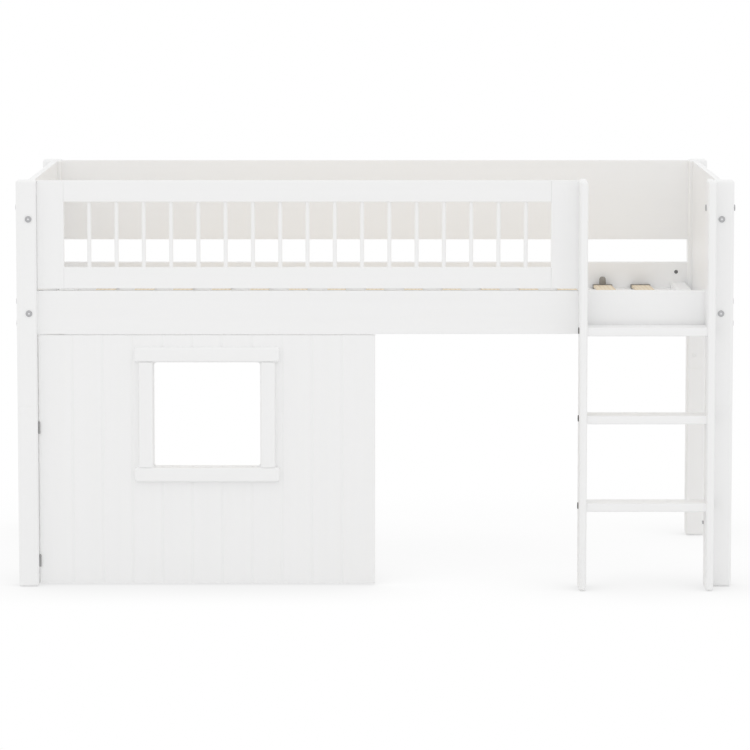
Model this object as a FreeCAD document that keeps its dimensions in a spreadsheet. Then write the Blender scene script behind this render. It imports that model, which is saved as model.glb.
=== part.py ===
import FreeCAD, Part
import Sketcher
import math
import os
import re

# Mid sleeper bed: +X along the bed to the right, +Y away from the ladder side, +Z up.
# The origin is on the floor, under the middle of the bed's box. All sizes are millimetres.
SIZES = {
    # Whole bed
    "bed_length": 2100,
    "bed_width": 1000,
    "post_top": 1200,
    # Posts and the legs that carry them
    "post_side": 59,
    "post_round": 7,
    "leg_length": 535,
    "joint_bevel": 0.8,
    "panel_plane": 36.5,
    # Side rails
    "rail_bottom": 747,
    "rail_height": 128,
    "rail_thick": 22,
    "rail_bolt_inset": 31.5,
    "board_round": 2,
    # End panels
    "end_panel_thick": 18,
    "end_panel_height": 449,
    "end_bolt_drop": 109,
    "end_bolt_rise": 63,
    # Front guard
    "guard_gap": 6,
    "guard_height": 317,
    "guard_rail_height": 62,
    "guard_stile_width": 79,
    "guard_end_width": 103,
    "guard_bolt_drop": 78,
    "guard_dowel_rise": 31,
    "spindle_dia": 12,
    "spindle_tenon": 15,
    # Back guard
    "back_guard_thick": 18,
    "back_guard_gap": 72,
    "back_guard_height": 251,
    # Slats and what carries them
    "slat_width": 57,
    "slat_thick": 9,
    "slat_bow": 12,
    "slat_drop": 72,
    "slat_round": 2.5,
    "slat_end_gap": 2,
    "cap_wall": 1.6,
    "cap_length": 35,
    "cap_round": 4,
    "cap_clearance": 0.2,
    "ledger_thick": 28,
    "ledger_height": 24,
    "ledger_end_gap": 10,
    "crossbar_width": 46,
    "crossbar_height": 19,
    "crossbar_inset": 7.5,
    "crossbar_end_gap": 0.5,
    "peg_dia": 21,
    "peg_height": 24,
    "peg_dome_share": 0.4,
    "peg_stem_dia": 8,
    "peg_stem_length": 30,
    "peg_inset": 22,
    # Ladder
    "ladder_reach": 80,
    "ladder_top": 1204,
    "ladder_clear": 350,
    "stringer_thick": 22,
    "stringer_round": 7,
    "stringer_corner": 8,
    "tread_thick": 25,
    "tread_setback": 13,
    "tread_back_gap": 8,
    "tread_round": 4,
    "first_tread": 258,
    "tread_pitch": 258.5,
    "tread_dowel_offset": 25,
    "ladder_rail_bolt_drop": 35,
    "ladder_foot_bolt": 190,
    # Play-front door and its window
    "door_gap": 2.8,
    "door_top_gap": 3,
    "door_floor_gap": 5,
    "door_width": 988.7,
    "door_thick": 16,
    "door_round": 1.5,
    "groove_pitch": 88,
    "groove_width": 12,
    "groove_depth": 1,
    "window_width": 312,
    "window_height": 308,
    "window_sill": 350.5,
    "window_round": 9,
    "trim_width": 43,
    "trim_thick": 18,
    "trim_reveal": 2,
    "trim_overhang": 12.5,
    "trim_end_round": 8,
    "trim_edge_round": 6,
    # Butt hinges
    "hinge_height": 35,
    "hinge_low": 74,
    "hinge_high": 469.5,
    "hinge_axis_gap": 3,
    "hinge_stand": 3.2,
    "barrel_dia": 5.5,
    "barrel_clearance": 0.35,
    "knuckle_gap": 0.2,
    "leaf_thick": 1.2,
    "leaf_reach": 14,
    "pin_dia": 2.4,
    "pin_clearance": 0.05,
    # Fasteners
    "bolt_shank": 7,
    "bolt_head_dia": 19,
    "bolt_head_height": 3,
    "bolt_head_bevel": 1,
    "foot_bolt_dia": 10,
    "foot_bolt_height": 5,
    "socket_dia": 6.4,
    "socket_depth": 2,
    "bolt_clearance": 0.3,
    "nut_dia": 12,
    "nut_length": 17,
    "nut_inset": 36,
    "nut_overrun": 8,
    "insert_dia": 11,
    "insert_length": 22,
    "sleeve_length": 40,
    "sleeve_lap": 20,
    "dowel_dia": 8,
    "dowel_length": 30,
    "dowel_clearance": 0.15,
    "stud_rise": 45,
    "stud_overrun": 12,
    "stud_fall": 45,
    "hole_end_room": 1,
}

SPINDLES = 17
SLATS = 15
TREADS = 3
GROOVES = 10
PEGGED_SLATS = (2, SLATS - 1)
TREAD_NAMES = ("bottom", "middle", "top")
SOCKET_SIDES = 6
WINDOW_SEARCH_SHARE = 0.02
STRAIGHT_SHARE = 0.99
DEGREES = math.degrees(1)

# Derived places, written as formulas of the sizes
front = "((ladder_reach - bed_width - bolt_head_height) / 2)"
back = f"({front} + bed_width)"
end = "(bed_length / 2)"
rail_end = "(bed_length / 2 - post_side)"
rail_length = "(bed_length - 2 * post_side)"
rail_top = "(rail_bottom + rail_height)"
rail_inset = "(panel_plane - rail_thick / 2)"
guard_bottom = f"({rail_top} + guard_gap)"
guard_top = f"({guard_bottom} + guard_height)"
guard_bolt = f"({guard_top} - guard_bolt_drop)"
stringer_right = rail_end
stringer_left = f"({rail_end} - 2 * stringer_thick - ladder_clear)"
stringer_depth = f"(ladder_reach + {rail_inset})"
guard_length = f"({stringer_left} + stringer_thick + {rail_end})"
opening_length = f"({guard_length} - guard_stile_width - guard_end_width)"
spindle_pitch = f"(({opening_length} + spindle_dia) / {SPINDLES + 1})"
back_guard_bottom = f"({rail_top} + back_guard_gap)"
slat_top = f"({rail_top} - slat_drop)"
cap_skin = "(cap_wall + cap_clearance)"
ledger_top = f"({slat_top} - slat_thick - {cap_skin})"
ledger_bottom = f"({ledger_top} - ledger_height)"
between_rails = "(bed_width - 2 * panel_plane - rail_thick)"
slat_length = f"({between_rails} - 2 * slat_end_gap - 2 * {cap_skin})"
bow_radius = f"({slat_length} * {slat_length} / (8 * slat_bow))"
slat_end_drop = f"(({slat_length} + 2 * {cap_skin}) * ({slat_length} + 2 * {cap_skin}) / (8 * {bow_radius}))"
bow_axis_z = f"({ledger_top} + {cap_skin} + {slat_end_drop} - {bow_radius})"
crossbar_centre = f"({rail_end} - crossbar_inset - crossbar_width / 2)"
slat_pitch = f"(2 * {crossbar_centre} / {SLATS + 1})"
tread_depth = f"({stringer_depth} - tread_setback - tread_back_gap)"
tread_middle = f"({front} - ladder_reach + tread_setback + {tread_depth} / 2)"
lap_middle = f"({rail_inset} / 2)"
door_left = f"(door_gap - {rail_end})"
door_front = f"({front} + {rail_inset})"
door_height = "(rail_bottom - door_top_gap - door_floor_gap)"
window_left = "((door_width - window_width) / 2)"
hinge_axis_x = f"(hinge_axis_gap - {rail_end})"
hinge_axis_y = f"({door_front} - hinge_stand)"
knuckle = "((hinge_height - 2 * knuckle_gap) / 3)"
bolt_hole = "(bolt_shank + 2 * bolt_clearance)"
insert_hole = "(insert_dia + 2 * bolt_clearance)"
nut_hole = "(nut_dia + 2 * bolt_clearance)"
dowel_hole = "(dowel_dia + 2 * dowel_clearance)"
dowel_depth = "(dowel_length / 2 + hole_end_room)"
insert_depth = "(insert_length + hole_end_room)"
nut_depth = "(nut_length / 2)"

doc = FreeCAD.newDocument("MidSleeper")
sheet = doc.addObject("Spreadsheet::Sheet", "Sizes")
for row, (alias, value) in enumerate(SIZES.items(), start=1):
    sheet.set(f"A{row}", alias)
    sheet.set(f"B{row}", str(value))
    sheet.setAlias(f"B{row}", alias)
doc.recompute()

nodes = []
ORIGIN_POINT = (-1, 1)
# Geometry numbers of a sketch's own horizontal and vertical axes
SKETCH_AXES = ("-1", "-2")


def formula(text):
    """Turn plain size names into references to the sheet's cells."""
    return re.sub(r"[a-z_]+", lambda name: f"Sizes.{name.group()}", text)


def bind(item, **texts):
    """Bind properties of an object to formulas."""
    for prop, text in texts.items():
        item.setExpression(prop, formula(text))


def place(item, x="0", y="0", z="0"):
    """Bind an object's place to formulas."""
    for axis, text in zip("xyz", (x, y, z)):
        item.setExpression(f"Placement.Base.{axis}", formula(text))


def new_body(label, handed_in=True):
    """Start a body; it is one of the bed's pieces unless it is only a pattern for links."""
    body = doc.addObject("PartDesign::Body", label)
    body.Label = label
    if handed_in:
        nodes.append(body)
    return body


def new_sketch(body, name, plane, offset="0"):
    """Start a sketch on one of the body's own origin planes, moved along the plane's normal."""
    sketch = body.newObject("Sketcher::SketchObject", f"{body.Name}_{name}")
    support = next(item for item in body.Origin.OriginFeatures if item.Role == plane)
    sketch.AttachmentSupport = [(support, "")]
    sketch.MapMode = "FlatFace"
    sketch.setExpression("AttachmentOffset.Base.z", formula(offset))
    return sketch


def dimension(sketch, constraint, text):
    """Add a named dimension bound to a formula."""
    index = sketch.addConstraint(constraint)
    name = f"dimension_{index}"
    sketch.renameConstraint(index, name)
    sketch.setExpression(f"Constraints.{name}", formula(text))


def pin_point(sketch, point, x, y):
    """Hold a sketch point at formulas measured from the sketch's origin."""
    for text, kind, axis in ((x, "DistanceX", SKETCH_AXES[1]), (y, "DistanceY", SKETCH_AXES[0])):
        if text == "0":
            sketch.addConstraint(Sketcher.Constraint("PointOnObject", *point, int(axis)))
        else:
            dimension(sketch, Sketcher.Constraint(kind, *ORIGIN_POINT, *point, 1.0), text)


def polyline(sketch, corners):
    """Draw a closed outline through unit corners and return its first line's index."""
    first = sketch.GeometryCount
    count = len(corners)
    for number in range(count):
        start = FreeCAD.Vector(*corners[number], 0)
        stop = FreeCAD.Vector(*corners[(number + 1) % count], 0)
        sketch.addGeometry(Part.LineSegment(start, stop), False)
    for number in range(count):
        joint = Sketcher.Constraint("Coincident", first + number, 2, first + (number + 1) % count, 1)
        sketch.addConstraint(joint)
    return first


def rectangle(sketch, width, height, x="0", y="0"):
    """Draw a rectangle from its lower left corner."""
    first = polyline(sketch, ((1, 1), (2, 1), (2, 2), (1, 2)))
    for line, kind in enumerate(("Horizontal", "Vertical", "Horizontal", "Vertical"), start=first):
        sketch.addConstraint(Sketcher.Constraint(kind, line))
    pin_point(sketch, (first, 1), x, y)
    dimension(sketch, Sketcher.Constraint("DistanceX", first, 1, first, 2, 1.0), width)
    dimension(sketch, Sketcher.Constraint("DistanceY", first + 1, 1, first + 1, 2, 1.0), height)


def circle(sketch, diameter, x="0", y="0"):
    """Draw a circle about a point."""
    centre = FreeCAD.Vector(1, 1, 0)
    index = sketch.addGeometry(Part.Circle(centre, FreeCAD.Vector(0, 0, 1), 1), False)
    dimension(sketch, Sketcher.Constraint("Diameter", index, 1.0), diameter)
    pin_point(sketch, (index, 3), x, y)


def pad(body, sketch, length, flip=False):
    """Raise a sketch into a solid."""
    feature = body.newObject("PartDesign::Pad", f"{sketch.Name}_pad")
    feature.Profile = sketch
    feature.Reversed = flip
    bind(feature, Length=length)
    doc.recompute()
    return feature


def pocket(body, sketch, depth=None, flip=False):
    """Cut a sketch into the body, right through unless a depth is given."""
    before = body.Shape.Volume
    feature = body.newObject("PartDesign::Pocket", f"{sketch.Name}_cut")
    feature.Profile = sketch
    feature.Reversed = flip
    if depth is None:
        feature.Type = "ThroughAll"
        feature.SideType = "Symmetric"
    else:
        bind(feature, Length=depth)
    doc.recompute()
    if not body.Shape.Volume < before:
        raise RuntimeError(f"{feature.Name} cuts nothing")
    return feature


def drill(body, name, plane, centres, diameter, offset="0", depth=None, flip=False):
    """Cut round holes at points of a plane."""
    sketch = new_sketch(body, name, plane, offset)
    for x, y in centres:
        circle(sketch, diameter, x, y)
    return pocket(body, sketch, depth, flip)


def repeat(body, features, length, count, axis="H_Axis"):
    """Repeat features in a row along an axis of the first one's sketch."""
    row_pattern = body.newObject("PartDesign::LinearPattern", f"{body.Name}_{features[0].Name}_row")
    row_pattern.Originals = features
    row_pattern.Direction = (features[0].Profile[0], [axis])
    bind(row_pattern, Length=length)
    row_pattern.Occurrences = count
    body.Tip = row_pattern
    doc.recompute()


def edge_runs_along(edge, axis):
    """Say whether a straight edge runs along an axis."""
    if edge.Curve.TypeId != "Part::GeomLine":
        return False
    return abs(edge.tangentAt(edge.FirstParameter).dot(axis)) > STRAIGHT_SHARE


def ease_edges(body, radius, chosen, kind="Fillet"):
    """Round or bevel the edges that a test picks from the body's present shape."""
    base = body.Tip
    edges = enumerate(base.Shape.Edges, start=1)
    names = [f"Edge{number}" for number, edge in edges if chosen(edge, base.Shape.BoundBox)]
    feature = body.newObject(f"PartDesign::{kind}", f"{body.Name}_{kind}_{len(body.Group)}")
    feature.Base = (base, names)
    bind(feature, **{"Radius" if kind == "Fillet" else "Size": radius})
    doc.recompute()


ALONG_X = FreeCAD.Vector(1, 0, 0)
ALONG_Y = FreeCAD.Vector(0, 1, 0)
ALONG_Z = FreeCAD.Vector(0, 0, 1)


def along(axis):
    """Pick all straight edges along an axis."""
    return lambda edge, box: edge_runs_along(edge, axis)


def at_top(edge, box):
    """Pick the edges that lie in the top face."""
    return edge.BoundBox.ZMin > box.Center.z and edge.BoundBox.ZLength < box.ZLength / 2


def at_bottom(edge, box):
    """Pick the edges that lie in the bottom face."""
    return edge.BoundBox.ZMax < box.Center.z and edge.BoundBox.ZLength < box.ZLength / 2


def at_corner(edge, box):
    """Pick the edges that lie in a corner of the body's box, seen from its side."""
    offset = edge.BoundBox.Center - box.Center
    return abs(offset.y * offset.z) > (STRAIGHT_SHARE / 2) ** 2 * box.YLength * box.ZLength


def board(label, length, depth, height, at, handed_in=True):
    """Make a plain board from its lower left front corner."""
    body = new_body(label, handed_in)
    sketch = new_sketch(body, "outline", "XY_Plane")
    rectangle(sketch, length, depth)
    pad(body, sketch, height)
    place(body, *at)
    return body


def bent_section(body, name, width, thick, x, rise, start="0"):
    """Draw a section of a bent slat or its cap, at a distance along the slat from its middle."""
    sketch = new_sketch(body, name, "XZ_Plane")
    rectangle(sketch, width, thick, x, f"({bow_radius} + {rise})")
    if start != "0":
        sketch.AttachmentOffset.Rotation = FreeCAD.Rotation(-ALONG_X, 1)
        bind(sketch, **{"AttachmentOffset.Rotation.Angle": f"({start} / {bow_radius} * {DEGREES})"})
    return sketch


def bend(body, sketch, length, kind="Revolution", both_ways=False):
    """Turn a section about the slats' bending axis, through a length of slat."""
    feature = body.newObject(f"PartDesign::{kind}", f"{sketch.Name}_bend")
    feature.Profile = sketch
    feature.ReferenceAxis = (sketch, ["H_Axis"])
    feature.Reversed = not both_ways
    feature.Midplane = both_ways
    bind(feature, Angle=f"({length} / {bow_radius} * {DEGREES})")
    doc.recompute()


def group(label, placings):
    """Gather like pieces, each a link to its pattern at a place and turn, as one node."""
    links = []
    for number, (pattern, x, y, z, turn) in enumerate(placings, start=1):
        link = doc.addObject("App::Link", f"{label}_{number}")
        link.LinkedObject = pattern
        link.Placement.Rotation = turn
        place(link, x, y, z)
        links.append(link)
    gathered = doc.addObject("Part::Compound", label)
    gathered.Label = label
    gathered.Links = links
    nodes.append(gathered)
    doc.recompute()


UPRIGHT = FreeCAD.Rotation()
HALF_TURN = FreeCAD.Rotation(ALONG_Z, 180)
TO_LEFT = FreeCAD.Rotation(ALONG_Z, -ALONG_X)
TO_RIGHT = FreeCAD.Rotation(ALONG_Z, ALONG_X)
TO_FRONT = FreeCAD.Rotation(ALONG_Z, -ALONG_Y)
TO_BACK = FreeCAD.Rotation(ALONG_Z, ALONG_Y)
NUT_ACROSS = FreeCAD.Rotation(ALONG_X, -90)
NUT_UPRIGHT = FreeCAD.Rotation(ALONG_Z, ALONG_X, ALONG_Y, "XYZ")

# Places that the left and right, front and back pieces share
CORNERS = [(side, depth) for depth in ("front", "back") for side in ("left", "right")]
OUTER_X = {"left": f"-{end}", "right": end}
POST_X = {"left": f"-{end}", "right": rail_end}
POST_Y = {"front": front, "back": f"({back} - post_side)"}
PLANE_IN_POST = {"left": "panel_plane", "right": "(post_side - panel_plane)"}
PLANE_IN_POST.update({"front": PLANE_IN_POST["left"], "back": PLANE_IN_POST["right"]})
PLANE_X = {"left": f"(panel_plane - {end})", "right": f"({end} - panel_plane)"}
PLANE_Y = {"front": f"({front} + panel_plane)", "back": f"({back} - panel_plane)"}
HEAD_X = {"left": TO_LEFT, "right": TO_RIGHT}
HEAD_Y = {"front": TO_FRONT, "back": TO_BACK}
OUTER_Y = {"front": front, "back": back}
JOINT_X = {"left": f"-{rail_end}", "right": rail_end}
JOINT_Y = {"front": f"({front} + post_side)", "back": f"({back} - post_side)"}
INWARD = {"left": "+", "right": "-", "front": "+", "back": "-"}

rail_bolt_heights = ("(rail_bottom + rail_bolt_inset)", f"({rail_top} - rail_bolt_inset)")
end_bolt_heights = ("(rail_bottom + end_bolt_rise)", "(rail_bottom + end_panel_height - end_bolt_drop)")
guard_dowel_heights = {"front": f"({guard_bottom} + guard_dowel_rise)",
                       "back": f"({back_guard_bottom} + guard_dowel_rise)"}
stud_nut_height = "(leg_length + stud_rise)"


def make_post(side, depth):
    """Upper post: bolt holes for rail, end panel and guard, and the stud's hole from below."""
    body = board(f"post_{depth}_{side}", "post_side", "post_side", "(post_top - leg_length)",
                 (POST_X[side], POST_Y[depth], "leg_length"))
    ease_edges(body, "post_round", lambda edge, box: not at_bottom(edge, box))
    ease_edges(body, "joint_bevel", at_bottom, "Chamfer")
    x_plane = PLANE_IN_POST[side]
    y_plane = PLANE_IN_POST[depth]
    rail_centres = [(y_plane, f"({height} - leg_length)") for height in rail_bolt_heights]
    drill(body, "rail_bolt_holes", "YZ_Plane", rail_centres, bolt_hole)
    end_centres = [(x_plane, f"({height} - leg_length)") for height in end_bolt_heights]
    drill(body, "end_bolt_holes", "XZ_Plane", end_centres, bolt_hole)
    drill(body, "stud_hole", "XY_Plane", [(x_plane, y_plane)], bolt_hole,
          depth="(stud_rise + stud_overrun + hole_end_room)", flip=True)
    nut_face = {"front": "-post_side", "back": "0"}[depth]
    drill(body, "stud_nut_hole", "XZ_Plane", [(x_plane, "stud_rise")], nut_hole, offset=nut_face,
          depth=f"(post_side - panel_plane + {nut_depth})", flip=(depth == "front"))
    upper_height = f"({guard_bolt} - leg_length)"
    if (side, depth) == ("right", "front"):
        drill(body, "ladder_bolt_hole", "YZ_Plane", [(lap_middle, upper_height)], insert_hole)
        return
    drill(body, "guard_bolt_hole", "YZ_Plane", [(y_plane, upper_height)], bolt_hole)
    dowel_face = {"left": "post_side", "right": "0"}[side]
    dowel_centre = (y_plane, f"({guard_dowel_heights[depth]} - leg_length)")
    drill(body, "dowel_hole", "YZ_Plane", [dowel_centre], dowel_hole, offset=dowel_face,
          depth=dowel_depth, flip=(side == "right"))


def make_leg(side, depth):
    """Lower leg: rounded foot and a hole for the stud that joins it to its post."""
    body = board(f"leg_{depth}_{side}", "post_side", "post_side", "leg_length",
                 (POST_X[side], POST_Y[depth], "0"))
    ease_edges(body, "post_round", lambda edge, box: not at_top(edge, box))
    ease_edges(body, "joint_bevel", at_top, "Chamfer")
    drill(body, "stud_hole", "XY_Plane", [(PLANE_IN_POST[side], PLANE_IN_POST[depth])], bolt_hole,
          offset="leg_length", depth="(stud_fall + hole_end_room)")
    if (side, depth) == ("right", "front"):
        drill(body, "ladder_insert_hole", "YZ_Plane", [(lap_middle, "ladder_foot_bolt")], insert_hole,
              depth=insert_depth, flip=True)


def make_rail(depth):
    """Side rail with bolt bores in both ends and barrel nut holes in its inner face."""
    body = board(f"{depth}_side_rail", rail_length, "rail_thick", "rail_height",
                 (JOINT_X["left"], f"({PLANE_Y[depth]} - rail_thick / 2)", "rail_bottom"))
    ease_edges(body, "board_round", along(ALONG_X))
    heights = ("rail_bolt_inset", "(rail_height - rail_bolt_inset)")
    bores = [("(rail_thick / 2)", height) for height in heights]
    bore_depth = "(nut_inset + nut_overrun + hole_end_room)"
    drill(body, "left_bores", "YZ_Plane", bores, bolt_hole, depth=bore_depth, flip=True)
    drill(body, "right_bores", "YZ_Plane", bores, bolt_hole, offset=rail_length, depth=bore_depth)
    nuts = [(x, height) for x in ("nut_inset", f"({rail_length} - nut_inset)") for height in heights]
    inner_face = {"front": "-rail_thick", "back": "0"}[depth]
    drill(body, "nut_holes", "XZ_Plane", nuts, nut_hole, offset=inner_face,
          depth=f"(rail_thick / 2 + {nut_depth})", flip=(depth == "front"))
    if depth == "front":
        centre = (f"({stringer_left} + stringer_thick / 2 + {rail_end})",
                  "(rail_height - ladder_rail_bolt_drop)")
        drill(body, "ladder_bolt_hole", "XZ_Plane", [centre], bolt_hole)


def make_end_panel(side):
    """Solid end panel with threaded insert holes in both ends."""
    panel_length = "(bed_width - 2 * post_side)"
    body = board(f"end_panel_{side}", "end_panel_thick", panel_length, "end_panel_height",
                 (f"({PLANE_X[side]} - end_panel_thick / 2)", JOINT_Y["front"], "rail_bottom"))
    ease_edges(body, "board_round", along(ALONG_Y))
    centres = [("(end_panel_thick / 2)", height) for height in
               ("end_bolt_rise", "(end_panel_height - end_bolt_drop)")]
    drill(body, "front_insert_holes", "XZ_Plane", centres, insert_hole, depth=insert_depth)
    drill(body, "back_insert_holes", "XZ_Plane", centres, insert_hole, offset=f"-{panel_length}",
          depth=insert_depth, flip=True)


def drill_guard_end(body, thick, bolt_height, dowel_height, far_end=None):
    """Insert and dowel holes in the end of a guard board, at its near or far end."""
    name = "near" if far_end is None else "far"
    offset = far_end or "0"
    centre = f"({thick} / 2)"
    drill(body, f"{name}_insert_hole", "YZ_Plane", [(centre, bolt_height)], insert_hole, offset=offset,
          depth=insert_depth, flip=(far_end is None))
    drill(body, f"{name}_dowel_hole", "YZ_Plane", [(centre, dowel_height)], dowel_hole, offset=offset,
          depth=dowel_depth, flip=(far_end is None))


def make_front_guard():
    """Framed guard: two stiles, two rails and a row of round spindles tenoned into the rails."""
    y = f"({PLANE_Y['front']} - rail_thick / 2)"
    left = board("guard_stile_left", "guard_stile_width", "rail_thick", "guard_height",
                 (JOINT_X["left"], y, guard_bottom))
    ease_edges(left, "board_round", along(ALONG_Z))
    drill_guard_end(left, "rail_thick", "(guard_height - guard_bolt_drop)", "guard_dowel_rise")
    right_x = f"({stringer_left} + stringer_thick - guard_end_width)"
    right = board("guard_stile_right", "guard_end_width", "rail_thick", "guard_height",
                  (right_x, y, guard_bottom))
    ease_edges(right, "board_round", along(ALONG_Z))
    drill(right, "ladder_bolt_hole", "XZ_Plane",
          [("(guard_end_width - stringer_thick / 2)", "(guard_height - guard_bolt_drop)")], bolt_hole)
    opening_left = f"(guard_stile_width - {rail_end})"
    first_spindle = f"({spindle_pitch} - spindle_dia / 2)"
    rail_heights = {"bottom": guard_bottom, "top": f"({guard_top} - guard_rail_height)"}
    for name, height in rail_heights.items():
        rail = board(f"guard_rail_{name}", opening_length, "rail_thick", "guard_rail_height",
                     (opening_left, y, height))
        ease_edges(rail, "board_round", along(ALONG_X))
        socket_face = {"bottom": "guard_rail_height", "top": "0"}[name]
        socket = drill(rail, "spindle_socket", "XY_Plane", [(first_spindle, "(rail_thick / 2)")],
                       "(spindle_dia + 2 * dowel_clearance)", offset=socket_face,
                       depth="(spindle_tenon + hole_end_room)", flip=(name == "top"))
        repeat(rail, [socket], f"({spindle_pitch} * {SPINDLES - 1})", SPINDLES)
    spindles = new_body("guard_spindles")
    section = new_sketch(spindles, "section", "XY_Plane")
    circle(section, "spindle_dia")
    rod = pad(spindles, section, "(guard_height - 2 * guard_rail_height + 2 * spindle_tenon)")
    repeat(spindles, [rod], f"({spindle_pitch} * {SPINDLES - 1})", SPINDLES)
    place(spindles, f"({opening_left} + {first_spindle})", PLANE_Y["front"],
          f"({guard_bottom} + guard_rail_height - spindle_tenon)")


def make_back_guard():
    """Plain guard board between the back posts."""
    body = board("back_guard_panel", rail_length, "back_guard_thick", "back_guard_height",
                 (JOINT_X["left"], f"({PLANE_Y['back']} - back_guard_thick / 2)", back_guard_bottom))
    ease_edges(body, "board_round", along(ALONG_X))
    bolt_height = f"({guard_bolt} - {back_guard_bottom})"
    drill_guard_end(body, "back_guard_thick", bolt_height, "guard_dowel_rise")
    drill_guard_end(body, "back_guard_thick", bolt_height, "guard_dowel_rise", far_end=rail_length)


def slat_x(number):
    """Centre of a slat, counted from 1 at the left."""
    return f"({slat_pitch} * {number} - {crossbar_centre})"


slat_front = f"({PLANE_Y['front']} + rail_thick / 2 + slat_end_gap + {cap_skin})"
slat_back = f"({slat_front} + {slat_length})"
PEG_Y = {"front": f"({slat_front} - {cap_skin} + peg_inset)",
         "back": f"({slat_back} + {cap_skin} - peg_inset)"}


def make_ledger(depth):
    """Batten on a rail's inner face that carries the slats and cross bars."""
    length = f"({rail_length} - 2 * ledger_end_gap)"
    y = {"front": f"({PLANE_Y['front']} + rail_thick / 2)",
         "back": f"({PLANE_Y['back']} - rail_thick / 2 - ledger_thick)"}[depth]
    body = board(f"slat_ledger_{depth}", length, "ledger_thick", "ledger_height",
                 (f"(ledger_end_gap - {rail_end})", y, ledger_bottom))
    nut_height = f"({rail_bolt_heights[0]} - {ledger_bottom})"
    nuts = [(x, nut_height) for x in
            ("(nut_inset - ledger_end_gap)", f"({length} + ledger_end_gap - nut_inset)")]
    drill(body, "nut_holes", "XZ_Plane", nuts, nut_hole)
    pegs = [(f"({slat_x(number)} + {rail_end} - ledger_end_gap)", f"({PEG_Y[depth]} - {y})")
            for number in PEGGED_SLATS]
    drill(body, "peg_holes", "XY_Plane", pegs, "(peg_stem_dia + 2 * cap_clearance)")


def make_crossbar(side):
    """Cross bar that rests on both ledgers beside an end panel."""
    x = {"left": f"(-{crossbar_centre} - crossbar_width / 2)",
         "right": f"({crossbar_centre} - crossbar_width / 2)"}[side]
    body = board(f"crossbar_{side}", "crossbar_width", f"({between_rails} - 2 * crossbar_end_gap)",
                 "crossbar_height",
                 (x, f"({PLANE_Y['front']} + rail_thick / 2 + crossbar_end_gap)", ledger_top))
    ease_edges(body, "board_round", along(ALONG_Y))


slat_middle = f"({slat_front} + {slat_length} / 2)"
peg_reach = f"({slat_length} / 2 + {cap_skin} - peg_inset)"
cap_start = f"({slat_length} / 2 + {cap_skin} - cap_length)"
cap_top_radius = f"({bow_radius} + slat_thick + {cap_skin})"


def make_slat(number):
    """Sprung slat, bowed upwards; the second from each end is drilled for its pegs."""
    body = new_body(f"slat_{number:02d}")
    section = bent_section(body, "section", "slat_width", "slat_thick", "0", "0")
    bend(body, section, slat_length, both_ways=True)
    ease_edges(body, "slat_round", lambda edge, box: edge.Curve.TypeId == "Part::GeomCircle")
    if number in PEGGED_SLATS:
        holes = [("(slat_width / 2)", reach) for reach in (peg_reach, f"-{peg_reach}")]
        drill(body, "peg_holes", "XY_Plane", holes, "(peg_stem_dia + 2 * cap_clearance)", offset=bow_radius)
    place(body, f"({slat_x(number)} - slat_width / 2)", slat_middle, bow_axis_z)


def make_cap(label, pegged):
    """Moulded cap over a slat's end, bent with it and drilled where a peg goes through."""
    width = f"(slat_width + 2 * {cap_skin})"
    body = new_body(label, handed_in=False)
    bend(body, bent_section(body, "outside", width, f"(slat_thick + 2 * {cap_skin})", "0",
                            f"-{cap_skin}", cap_start), "cap_length")
    ease_edges(body, "cap_round",
               lambda edge, box: edge_runs_along(edge, ALONG_Z) and edge.BoundBox.YMin > box.Center.y)
    bend(body, bent_section(body, "mouth", "(slat_width + 2 * cap_clearance)",
                            "(slat_thick + 2 * cap_clearance)", "cap_wall", "-cap_clearance", cap_start),
         "(cap_length - cap_wall)", kind="Groove")
    if pegged:
        drill(body, "peg_hole", "XY_Plane", [(f"({width} / 2)", peg_reach)],
              "(peg_stem_dia + 2 * cap_clearance)", offset=bow_radius)
    return body


def make_slat_fittings():
    """Caps on every slat end, and pegs that hold two slats to the ledgers."""
    plain = make_cap("plain_cap", False)
    drilled = make_cap("drilled_cap", True)
    half = f"(slat_width / 2 + {cap_skin})"
    caps = []
    for number in range(1, SLATS + 1):
        pattern = drilled if number in PEGGED_SLATS else plain
        caps.append((pattern, f"({slat_x(number)} - {half})", slat_middle, bow_axis_z, UPRIGHT))
        caps.append((pattern, f"({slat_x(number)} + {half})", slat_middle, bow_axis_z, HALF_TURN))
    group("slat_end_caps", caps)
    peg = new_body("peg", handed_in=False)
    knob = new_sketch(peg, "knob", "XY_Plane")
    circle(knob, "peg_dia")
    pad(peg, knob, "peg_height")
    ease_edges(peg, "(peg_dia * peg_dome_share)", at_top)
    stem = new_sketch(peg, "stem", "XY_Plane")
    circle(stem, "peg_stem_dia")
    pad(peg, stem, "peg_stem_length", flip=True)
    # The knob stands on the highest point of the bent cap under its rim
    rim_reach = f"({peg_reach} - peg_dia / 2)"
    seat = f"({bow_axis_z} + {cap_top_radius} - {rim_reach} * {rim_reach} / (2 * {cap_top_radius}))"
    group("slat_pegs", [(peg, slat_x(number), PEG_Y[depth], seat, UPRIGHT)
                        for number in PEGGED_SLATS for depth in ("front", "back")])


def tread_top(index):
    """Height of a tread's top, counted from 0 at the bottom."""
    return f"(first_tread + tread_pitch * {index})"


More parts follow.
